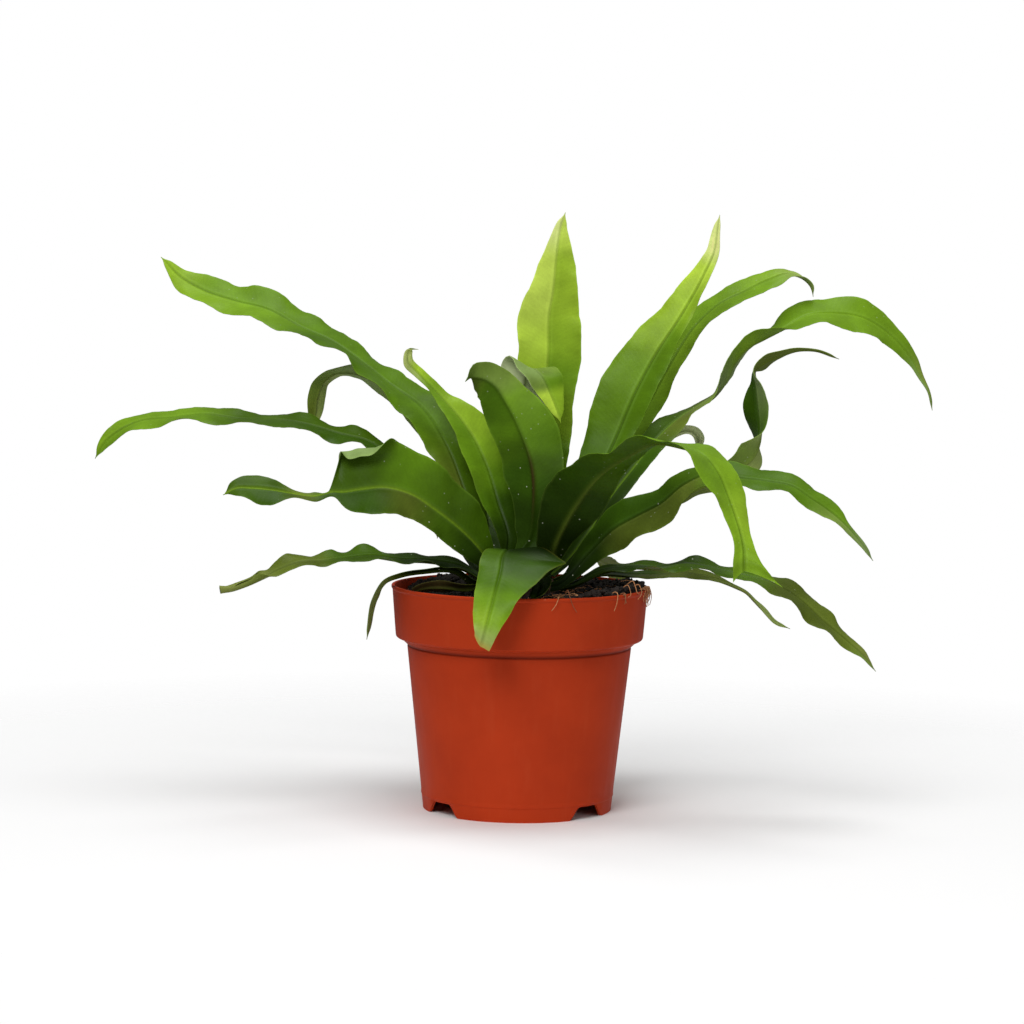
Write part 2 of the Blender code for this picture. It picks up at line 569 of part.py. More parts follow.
def main():
    clear_scene()
    make_pot()
    make_soil()
    make_crown()
    make_fronds()


main()
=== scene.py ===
"""Looks of a potted fern: fine fronds, peat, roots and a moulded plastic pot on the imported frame."""

import bpy
import numpy as np
from mathutils import Matrix, Vector


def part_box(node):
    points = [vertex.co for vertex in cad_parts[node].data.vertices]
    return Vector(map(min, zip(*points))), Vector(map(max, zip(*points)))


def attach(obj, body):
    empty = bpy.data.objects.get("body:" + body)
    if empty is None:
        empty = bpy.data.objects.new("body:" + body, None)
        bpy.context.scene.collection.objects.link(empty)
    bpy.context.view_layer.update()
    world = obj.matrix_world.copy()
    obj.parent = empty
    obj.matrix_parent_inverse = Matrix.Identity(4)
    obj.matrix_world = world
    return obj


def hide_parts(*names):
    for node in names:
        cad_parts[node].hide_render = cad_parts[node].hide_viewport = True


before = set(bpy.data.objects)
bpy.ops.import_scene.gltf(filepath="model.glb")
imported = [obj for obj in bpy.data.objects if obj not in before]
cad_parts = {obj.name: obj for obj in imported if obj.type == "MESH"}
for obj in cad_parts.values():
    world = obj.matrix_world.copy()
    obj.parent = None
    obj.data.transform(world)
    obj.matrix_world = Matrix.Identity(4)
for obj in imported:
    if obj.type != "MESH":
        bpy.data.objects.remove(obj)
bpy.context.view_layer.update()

MM = 0.001


# ---------------------------------------------------------------- numbers and colours
def srgb(red, green, blue):
    """Linear colour from screen values of 0 to 255."""
    value = np.array((red, green, blue), float) / 255.0
    return np.where(value > 0.04045, ((value + 0.055) / 1.055) ** 2.4, value / 12.92)


def smoothstep(low, high, value):
    share = np.clip((value - low) / (high - low), 0.0, 1.0)
    return share * share * (3.0 - 2.0 * share)


def unit(vectors):
    return vectors / np.maximum(np.linalg.norm(vectors, axis=-1, keepdims=True), 1e-12)


def wander(value, seed):
    """Smooth irregular wave of about unit height."""
    phase = np.random.default_rng(seed).uniform(0.0, 6.28, 4)
    return (
        0.55 * np.sin(value + phase[0])
        + 0.35 * np.sin(1.73 * value + phase[1])
        + 0.22 * np.sin(2.91 * value + phase[2])
        + 0.12 * np.sin(5.3 * value + phase[3]))


def mixed(first, second, share):
    share = np.asarray(share)[..., None]
    return first * (1.0 - share) + second * share


# ---------------------------------------------------------------- node materials
class Nodes:
    """Small helper that builds one Principled material."""

    def __init__(self, name):
        self.material = bpy.data.materials.new(name)
        self.material.use_nodes = True
        self.tree = self.material.node_tree
        self.surface = self.tree.nodes["Principled BSDF"]

    def add(self, kind, **settings):
        node = self.tree.nodes.new(kind)
        for key, value in settings.items():
            if key in node.inputs:
                node.inputs[key].default_value = value
            else:
                setattr(node, key, value)
        return node

    def link(self, output, socket):
        self.tree.links.new(output, socket)

    def feed(self, socket, value):
        """Set a socket to a number or colour, or link it to an output."""
        if isinstance(value, (int, float)):
            socket.default_value = value
        elif isinstance(value, (tuple, np.ndarray)):
            socket.default_value = (*value, 1.0)
        else:
            self.link(value, socket)

    def math(self, operation, *values):
        node = self.add("ShaderNodeMath", operation=operation)
        for socket, value in zip(node.inputs, values):
            self.feed(socket, value)
        return node.outputs[0]

    def times(self, first, second):
        return self.math("MULTIPLY", first, second)

    def plus(self, first, second):
        return self.math("ADD", first, second)

    def noise(self, vector, scale, detail=3.0, roughness=0.55):
        node = self.add("ShaderNodeTexNoise", Scale=scale, Detail=detail, Roughness=roughness)
        self.link(vector, node.inputs["Vector"])
        return node.outputs["Fac"]

    def cells(self, vector, scale):
        """Distance to the nearest of many scattered points, and that point's random colour."""
        node = self.add("ShaderNodeTexVoronoi", Scale=scale)
        self.link(vector, node.inputs["Vector"])
        return node.outputs["Distance"], node.outputs["Color"]

    def ramp(self, value, low, high, to_low=0.0, to_high=1.0):
        node = self.add("ShaderNodeMapRange")
        for name, limit in (("From Min", low), ("From Max", high), ("To Min", to_low), ("To Max", to_high)):
            node.inputs[name].default_value = limit
        self.link(value, node.inputs["Value"])
        return node.outputs["Result"]

    def mix(self, share, first, second, blend="MIX"):
        node = self.add("ShaderNodeMix", data_type="RGBA", blend_type=blend)
        for index, value in ((0, share), (6, first), (7, second)):
            self.feed(node.inputs[index], value)
        return node.outputs[2]

    def bump(self, height, distance, strength):
        node = self.add("ShaderNodeBump", Strength=strength, Distance=distance)
        self.link(height, node.inputs["Height"])
        return node.outputs["Normal"]

    def finish(self, colour, roughness, normal=None, gloss=None):
        self.feed(self.surface.inputs["Base Color"], colour)
        self.feed(self.surface.inputs["Roughness"], roughness)
        if normal is not None:
            self.link(normal, self.surface.inputs["Normal"])
        if gloss is not None:
            self.surface.inputs["Specular IOR Level"].default_value = gloss
        return self.material


def object_coordinates(nodes):
    return nodes.add("ShaderNodeTexCoord").outputs["Object"]


# ---------------------------------------------------------------- sizes taken from the frame
POT_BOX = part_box("pot")
CROWN_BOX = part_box("crown")
POT_HEIGHT = POT_BOX[1][2] / MM
LIP = 0.35
RIM_RADIUS = (POT_BOX[1][0] - POT_BOX[0][0]) / 2.0 / MM - LIP
CROWN_RADIUS = (CROWN_BOX[1][0] - CROWN_BOX[0][0]) / 2.0 / MM
CROWN_BASE = CROWN_BOX[0][2] / MM
CROWN_HEIGHT = (CROWN_BOX[1][2] - CROWN_BOX[0][2]) / MM
SOIL_LEVEL = CROWN_BASE - 0.3

BAND_HEIGHT = 25.0
BAND_TAPER = 2.0
SHOULDER_DEPTH = 5.3
SHOULDER_DROP = 2.6
BODY_TAPER = 8.4
WALL = 1.2
LIP_HEIGHT = 1.5
FLOOR_RISE = 8.0
NOTCH_HEIGHT = 6.0
FOOT_HALF_ANGLE = 35.0
FOOT_FLARE = 8.5
SIDE_FOOT_START = 57.0
POT_TURN = -2.3
HOLE_RADIUS = 4.0
HOLE_CIRCLE = 27.0
HOLE_COUNT = 6
HOLE_SIDES = 40
SOIL_TILT = 6.0
KEEL_AT_BASE = 1.6
KEEL_AT_TIP = 0.3
BLADE_THICKNESS = 0.8
SPREAD_CRUMBS = 2300
HEAPED_CRUMBS = 520
HANGING_ROOTS = 13
LOOSE_ROOTS = 80
ROOT_REACH = 56.0
SCALE_COUNT = 420
ROW_SPACING = 1.15
EXTRA_ROWS = 24
TIP_LENGTH = 5.0
FLOOR_RADIUS = 620.0
PLANT_MIDDLE = (0.0, 0.0, 0.15)
CAMERA_PLACE = (0.0, -1.5, 0.258)
CAMERA_YAW = -0.164
CAMERA_PITCH = 4.52
CAMERA_ROLL = 0.83


# ---------------------------------------------------------------- pieces
def add_mesh(name, points, faces, material, sharp=40.0):
    """Make a piece from points in millimetres. faces is a list, or an array of quads."""
    mesh = bpy.data.meshes.new(name)
    points = np.asarray(points, float) * MM
    mesh.vertices.add(len(points))
    mesh.vertices.foreach_set("co", points.ravel())
    sizes = np.array([len(face) for face in faces])
    corners = np.concatenate([np.asarray(face) for face in faces])
    mesh.loops.add(len(corners))
    mesh.loops.foreach_set("vertex_index", corners)
    mesh.polygons.add(len(sizes))
    mesh.polygons.foreach_set("loop_start", np.concatenate(([0], np.cumsum(sizes)[:-1])))
    mesh.update(calc_edges=True)
    mesh.validate()
    mesh.materials.append(material)
    mesh.shade_smooth()
    if sharp:
        mesh.set_sharp_from_angle(angle=np.radians(sharp))
    piece = bpy.data.objects.new(name, mesh)
    bpy.context.scene.collection.objects.link(piece)
    return piece


def paint(piece, name, values):
    """Store one colour per point."""
    layer = piece.data.color_attributes.new(name, "FLOAT_COLOR", "POINT")
    colours = np.ones((len(values), 4))
    colours[:, :3] = values
    layer.data.foreach_set("color", colours.ravel())


def note(piece, name, values):
    """Store one vector per point."""
    layer = piece.data.attributes.new(name, "FLOAT_VECTOR", "POINT")
    layer.data.foreach_set("vector", np.asarray(values, float).ravel())


def grid_faces(rows, columns, start=0, flip=False, wrap=False):
    """Quads of a grid of points; wrap joins the last column to the first."""
    row, column = np.meshgrid(np.arange(rows - 1), np.arange(columns if wrap else columns - 1), indexing="ij")
    beside = (column + 1) % columns
    quads = np.stack((
        row * columns + column, row * columns + beside,
        (row + 1) * columns + beside, (row + 1) * columns + column), axis=-1).reshape(-1, 4) + start
    return quads[:, ::-1] if flip else quads


def capped_faces(rings, steps):
    """Faces of closed rings of points, with a flat cap at both ends."""
    faces = list(grid_faces(rings, steps, wrap=True))
    faces.append(tuple(reversed(range(steps))))
    faces.append(tuple((rings - 1) * steps + step for step in range(steps)))
    return faces


def joined(shapes):
    """Points and faces of many shapes as one."""
    points, faces, start = [], [], 0
    for corners, sides in shapes:
        points.append(corners)
        faces += [tuple(start + corner for corner in side) for side in sides]
        start += len(corners)
    return np.concatenate(points), faces


def circle(steps):
    return np.linspace(0.0, 2.0 * np.pi, steps, endpoint=False)


# ---------------------------------------------------------------- frond shapes
def place(x, y, height):
    return np.array((x, y, POT_HEIGHT + height))


def crown_surface(direction, down, lift):
    around, tilt = np.radians(direction), np.radians(down)
    out = (CROWN_RADIUS + lift) * np.sin(tilt)
    height = CROWN_BASE + (CROWN_HEIGHT + lift) * np.cos(tilt)
    return np.array((out * np.cos(around), out * np.sin(around), height))


def smooth_curve(rows, along, distances):
    """Read a smooth curve at distances, through rows that lie at the lengths along."""
    slope = np.gradient(rows, along, axis=0)
    index = np.clip(np.searchsorted(along, distances, side="right") - 1, 0, len(rows) - 2)
    span = (along[index + 1] - along[index])[:, None]
    t = (distances - along[index])[:, None] / span
    return (
        rows[index] * (2 * t**3 - 3 * t**2 + 1)
        + rows[index + 1] * (3 * t**2 - 2 * t**3)
        + slope[index] * span * (t**3 - 2 * t**2 + t)
        + slope[index + 1] * span * (t**3 - t**2))


ACROSS = np.array((0.0, 0.02, 0.05, 0.09, 0.15, 0.24, 0.34, 0.45, 0.56, 0.67, 0.77, 0.86, 0.93, 0.975, 1.0))


def window(value, start, end):
    """One between start and end, easing in and out; it stays up where the end is 1 or more."""
    ease = 0.3 * (end - start)
    rise = smoothstep(start - ease, start + ease, value)
    fall = 1.0 if end >= 1.0 else smoothstep(end + ease, end - ease, value)
    return rise * fall


def hill(value, middle, width):
    return np.exp(-((value - middle) / width) ** 2)


def frond_sheet(name, look):
    """Middle surface of a blade as a grid, with where each point lies along and across it."""
    direction, down = look["seat"]
    start = crown_surface(direction, down, KEEL_AT_BASE + BLADE_THICKNESS + 0.1)
    lead = crown_surface(direction, down, 7.0)
    first = look["stations"][0]
    rows = [(*start, 2.6, 2.6, first[5]), (*lead, 2.8, 2.8, first[5])]
    rows += [(*place(x, y, height), left, right, roll) for x, y, height, left, right, roll in look["stations"]]
    rows = np.array(rows, float)
    steps_along = np.linalg.norm(np.diff(rows[:, :3], axis=0), axis=1)
    along = np.concatenate(([0.0], np.cumsum(steps_along)))
    total = along[-1]
    count = int(total / ROW_SPACING) + EXTRA_ROWS
    share = np.linspace(0.0, 1.0, count)
    curve = smooth_curve(rows, along, share * total)
    centres = curve[:, :3]
    tangents = unit(np.gradient(centres, axis=0))
    facing = np.radians(look["facing"])
    side = np.array((-np.sin(facing), np.cos(facing), 0.0))
    level = unit(side - tangents * (tangents @ side)[:, None])
    upright = np.cross(tangents, level)
    roll = np.radians(curve[:, 5])[:, None]
    wide = level * np.cos(roll) + upright * np.sin(roll)
    normal = upright * np.cos(roll) - level * np.sin(roll)
    length = share * total
    seed = sum(ord(letter) for letter in name)
    tip = 1.0 if look.get("blunt") else smoothstep(1.0, 1.0 - TIP_LENGTH / total, share)
    halves = {}
    for sign, column in ((1, 3), (-1, 4)):
        half = np.maximum(curve[:, column], 0.5)
        half = half + 0.35 * wander(length / 4.2, seed + sign) * np.minimum(half / 10.0, 1.0)
        halves[sign] = np.maximum(half, 0.3) * (0.12 + 0.88 * tip)
    amount, spacing = look["wave"]
    parts = {}
    for sign in (1, -1):
        half = halves[sign][:, None]
        w = ACROSS[None, :]
        angle = np.radians(look["fold"]) * smoothstep(0.0, 0.14, w) * np.ones((count, 1))
        angle = angle - np.radians(look["fold"]) * 0.6 * smoothstep(0.55, 1.0, w)
        for begin, end, which, from_w, degrees in look.get("curls", ()):
            if which in (0, sign):
                turn = np.radians(degrees) * window(share, begin, end)[:, None]
                reach = 0.3 if from_w > 0.3 else 1.0 - from_w
                angle = angle + turn * np.clip((w - from_w) / reach, 0.0, 1.0)
        steps = np.diff(ACROSS)[None, :] * half
        between = 0.5 * (angle[:, 1:] + angle[:, :-1])
        out = np.concatenate((np.zeros((count, 1)), np.cumsum(np.cos(between) * steps, axis=1)), axis=1)
        lift = np.concatenate((np.zeros((count, 1)), np.cumsum(np.sin(between) * steps, axis=1)), axis=1)
        phase = length * 6.2832 / spacing + (1.3 if sign > 0 else 0.0)
        phase = phase + 0.7 * wander(length / 23.0, seed + 5)
        swell = 0.75 + 0.45 * wander(length / 17.0, seed + 9 * sign)
        fade = np.minimum(halves[sign] / 8.0, 1.0) * np.minimum(1.0, 4.0 * share)
        ripple = amount * swell * np.sin(phase) * fade
        fine = 0.22 * wander(length / 1.9, seed + 31 * sign) * fade * min(amount, 1.0)
        lift = lift + ripple[:, None] * w**2.2 + fine[:, None] * w**4
        shift = np.zeros((count, 1))
        for middle, width, which, amount_along in look.get("sweeps", ()):
            if which in (0, sign):
                shift = shift + amount_along * hill(share, middle, width)[:, None]
        point = (
            centres[:, None, :]
            + sign * wide[:, None, :] * out[..., None]
            + normal[:, None, :] * lift[..., None]
            + tangents[:, None, :] * (shift * w**1.4)[..., None])
        parts[sign] = point
    sheet = np.concatenate((parts[-1][:, :0:-1], parts[1]), axis=1)
    across = np.concatenate((-ACROSS[:0:-1], ACROSS))
    widths = np.where(across[None, :] < 0, halves[-1][:, None], halves[1][:, None])
    return sheet, share, length, across, across[None, :] * widths, widths


def sheet_normals(sheet):
    along = np.gradient(sheet, axis=0)
    beside = np.gradient(sheet, axis=1)
    return unit(np.cross(along, beside))


def make_frond(name, look, material):
    sheet, share, length, across, offset, widths = frond_sheet(name, look)
    rows, columns = sheet.shape[:2]
    normals = sheet_normals(sheet)
    keel = (KEEL_AT_BASE + (KEEL_AT_TIP - KEEL_AT_BASE) * share)[:, None]
    reach = 0.55 + 0.35 * keel
    taper = smoothstep(1.0, 1.0 - 6.0 / length[-1], share)[:, None]
    thick = BLADE_THICKNESS * (1.0 - 0.72 * np.abs(across)[None, :] ** 5) * (0.3 + 0.7 * taper)
    full = np.minimum(widths / 5.0, 1.0)
    groove = 0.32 * np.exp(-((offset / 0.55) ** 2)) * full
    ridges = 0.2 * np.exp(-(((np.abs(offset) - 1.25) / 0.5) ** 2)) * full
    top = sheet + normals * (thick / 2.0 - groove + ridges)[..., None]
    rib = keel * np.exp(-((offset / reach) ** 2)) * np.minimum(widths / 2.5, 1.0)
    bottom = sheet - normals * (thick / 2.0 + rib)[..., None]
    points = np.concatenate((top.reshape(-1, 3), bottom.reshape(-1, 3)))
    under = rows * columns
    faces = list(grid_faces(rows, columns)) + list(grid_faces(rows, columns, under, flip=True))
    for row in range(rows - 1):
        here, beyond = row * columns, (row + 1) * columns
        faces.append((here, beyond, under + beyond, under + here))
        here, beyond = here + columns - 1, beyond + columns - 1
        faces.append((beyond, here, under + here, under + beyond))
    for column in range(columns - 1):
        faces.append((column + 1, column, under + column, under + column + 1))
        here = (rows - 1) * columns + column
        faces.append((here, here + 1, under + here + 1, under + here))
    piece = add_mesh(name + "_leaf", points, faces, material)
    flat = np.zeros_like(offset)
    tints = [leaf_tint(look, share, length, across, offset, widths, upper) for upper in (True, False)]
    paint(piece, "tint", np.concatenate([tint.reshape(-1, 3) for tint in tints]))
    spots = [np.stack((length[:, None] + flat, offset, flat + upper), axis=-1) for upper in (1.0, 0.0)]
    note(piece, "leaf", np.concatenate([spot.reshape(-1, 3) for spot in spots]))
    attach(piece, "root")
    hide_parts(name)


# ---------------------------------------------------------------- frond colours
def shade_along(shades, share, side):
    """Colour along one side of the blade: side is 1 for the left and -1 for the right."""
    marks = np.array([entry[0] for entry in shades])
    colours = np.array([entry[1 if side > 0 else -1] for entry in shades])
    index = np.clip(np.searchsorted(marks, share, side="right") - 1, 0, max(len(marks) - 2, 0))
    if len(marks) == 1:
        return np.repeat(colours[:1], len(share), axis=0)
    part = smoothstep(0.0, 1.0, (share - marks[index]) / (marks[index + 1] - marks[index]))
    return mixed(colours[index], colours[index + 1], part)


def leaf_tint(look, share, length, across, offset, widths, upper):
    shades = look["top"] if upper else look.get("under", UNDERSIDE)
    left = shade_along(shades, share, 1)[:, None, :]
    right = shade_along(shades, share, -1)[:, None, :]
    tint = mixed(right, left, smoothstep(-1.0, 1.0, offset))
    seed = len(look["stations"]) * 7 + int(look["facing"])
    blotch = wander(length / 6.0, seed)[:, None] * np.cos(offset / 5.0 + 0.5)
    blotch = blotch + 0.6 * wander(length / 2.3, seed + 3)[:, None] * np.sin(offset / 2.6)
    tint = tint * (1.0 + 0.07 * blotch)[..., None]
    edge = smoothstep(0.93, 1.0, np.abs(across))[None, :] * np.ones_like(offset)
    tint = mixed(tint, tint * 1.15 + look.get("edge", EDGE) * 0.16, 0.5 * edge)
    if upper:
        rib_share = np.exp(-((offset / 0.7) ** 2)) * look.get("rib_strength", 0.35)
        tint = mixed(tint, look.get("rib", tint * 0.5), rib_share)
        # Painted highlight: the raised ridges beside the midrib are lightened.
        pale = np.exp(-(((np.abs(offset) - 1.3) / 0.6) ** 2)) * look.get("ridge_highlight_strength", 0.25)
        tint = mixed(tint, tint * 1.35 + 0.02, pale * np.minimum(widths / 5.0, 1.0))
    else:
        rib_share = np.exp(-((offset / 1.1) ** 2)) * look.get("keel_strength", 0.6)
        tint = mixed(tint, look.get("keel", KEEL_COLOUR), rib_share)
    for middle, u, long_width, wide_width, colour, strength in look.get("patches", ()):
        patch = hill(share, middle, long_width)[:, None] * hill(across, u, wide_width)[None, :]
        tint = mixed(tint, colour, strength * patch)
    # Darker towards the base: partly the stalk's own deeper green, partly painted shade of the inner foliage.
    stalk_tone_and_shade = smoothstep(0.14, 0.02, share)[:, None] * np.ones_like(offset)
    tint = mixed(tint, tint * 0.45, 0.7 * stalk_tone_and_shade)
    return np.clip(tint, 0.0, 1.0)


# ---------------------------------------------------------------- colours
# The two darkest greens below are leaf in shade: painted shade on bases, undersides and inner blades.
SHADE_INK = srgb(16, 30, 3)
SHADE_NIGHT = srgb(30, 48, 6)
PINE = srgb(40, 64, 5)
DARK = srgb(52, 82, 7)
DEEP = srgb(63, 92, 10)
MOSS = srgb(72, 106, 12)
MID = srgb(84, 120, 16)
LEAF = srgb(96, 133, 22)
FRESH = srgb(108, 146, 28)
LIME = srgb(122, 160, 32)
SPRING = srgb(138, 173, 40)
BRIGHT = srgb(158, 192, 50)
GLOW = srgb(182, 213, 68)
PALE = srgb(204, 230, 92)
# Painted highlight: the cream at the tips of the young fronds.
CREAM_HIGHLIGHT = srgb(236, 250, 150)
DULL = srgb(78, 92, 26)
OLIVE = srgb(98, 114, 36)
SAGE = srgb(114, 140, 56)
# Grey-green taken from glossy patches: painted sheen, also used as a paler underside colour.
GREY = srgb(128, 152, 86)
SILVER = srgb(154, 174, 92)
# Painted sheen: a pale grey-green put on undersides that lie in shade.
MIST_SHEEN = srgb(228, 240, 186)
ASH = srgb(126, 136, 66)
BROWN = srgb(58, 36, 14)
UMBER = srgb(60, 60, 24)
KHAKI = srgb(106, 98, 54)
TAN = srgb(178, 160, 74)
EDGE = srgb(160, 190, 80)
KEEL_COLOUR = srgb(92, 108, 34)
UNDERSIDE = ((0.0, PINE, PINE), (0.3, DULL, DULL), (1.0, OLIVE, OLIVE))

SLOTS = {
    "frond_centre_tall": "young_blade",
    "frond_right_tall": "young_blade",
    "frond_young_curled": "young_blade",
    "frond_front_torn": "young_blade",
    "old_leaf_base": "old_blade",
}




# ---------------------------------------------------------------- leaf materials
def leaf_material(name, roughness, dust):
    """Satin leaf: painted tint, slanted side veins, faint mottling and scattered pale specks."""
    nodes = Nodes(name)
    tint = nodes.add("ShaderNodeAttribute", attribute_name="tint").outputs["Color"]
    where = nodes.add("ShaderNodeAttribute", attribute_name="leaf").outputs["Vector"]
    parts = nodes.add("ShaderNodeSeparateXYZ")
    nodes.link(where, parts.inputs[0])
    along, across, upper = parts.outputs
    coordinates = object_coordinates(nodes)
    jitter = nodes.noise(coordinates, 160.0, 2.0)
    slant = nodes.times(nodes.math("ABSOLUTE", across), 0.55)
    travel = nodes.math("SUBTRACT", along, slant)
    travel = nodes.plus(travel, nodes.times(jitter, 1.4))
    veins = nodes.math("SINE", nodes.times(travel, 2.7))
    coarse = nodes.noise(coordinates, 90.0, 4.0, 0.6)
    fine = nodes.noise(coordinates, 1400.0, 2.0, 0.6)
    shade = nodes.ramp(coarse, 0.3, 0.7, 0.88, 1.12)
    shade = nodes.times(shade, nodes.ramp(veins, -1.0, 1.0, 0.985, 1.012))
    shade = nodes.times(shade, nodes.ramp(fine, 0.3, 0.7, 0.96, 1.04))
    grey = nodes.add("ShaderNodeCombineXYZ")
    for socket in grey.inputs:
        nodes.link(shade, socket)
    colour = nodes.mix(1.0, tint, grey.outputs[0], "MULTIPLY")
    distance, lot = nodes.cells(coordinates, 400.0)
    dots = nodes.times(nodes.ramp(distance, 0.17, 0.08), nodes.ramp(lot, 1.0 - dust, 1.0 - dust + 0.02))
    patchy = nodes.ramp(nodes.noise(coordinates, 30.0, 2.0), 0.42, 0.56)
    near = nodes.ramp(along, 95.0, 45.0, 0.25, 1.0)
    dots = nodes.times(nodes.times(dots, patchy), near)
    colour = nodes.mix(dots, colour, srgb(206, 210, 190))
    rough = nodes.ramp(nodes.noise(coordinates, 60.0, 3.0), 0.3, 0.7, roughness - 0.05, roughness + 0.08)
    rough = nodes.plus(rough, nodes.ramp(upper, 0.0, 1.0, 0.14, 0.0))
    height = nodes.plus(nodes.times(veins, 0.06), nodes.times(fine, 0.5))
    height = nodes.plus(height, nodes.times(coarse, 2.2))
    normal = nodes.bump(height, 0.00012, 0.8)
    return nodes.finish(colour, rough, normal, gloss=0.08)


LEAF_MATERIALS = {
    "blade": leaf_material("satin_leaf", 0.38, 0.3),
    "young_blade": leaf_material("young_leaf", 0.34, 0.02),
    "old_blade": leaf_material("old_leaf", 0.7, 0.05),
}
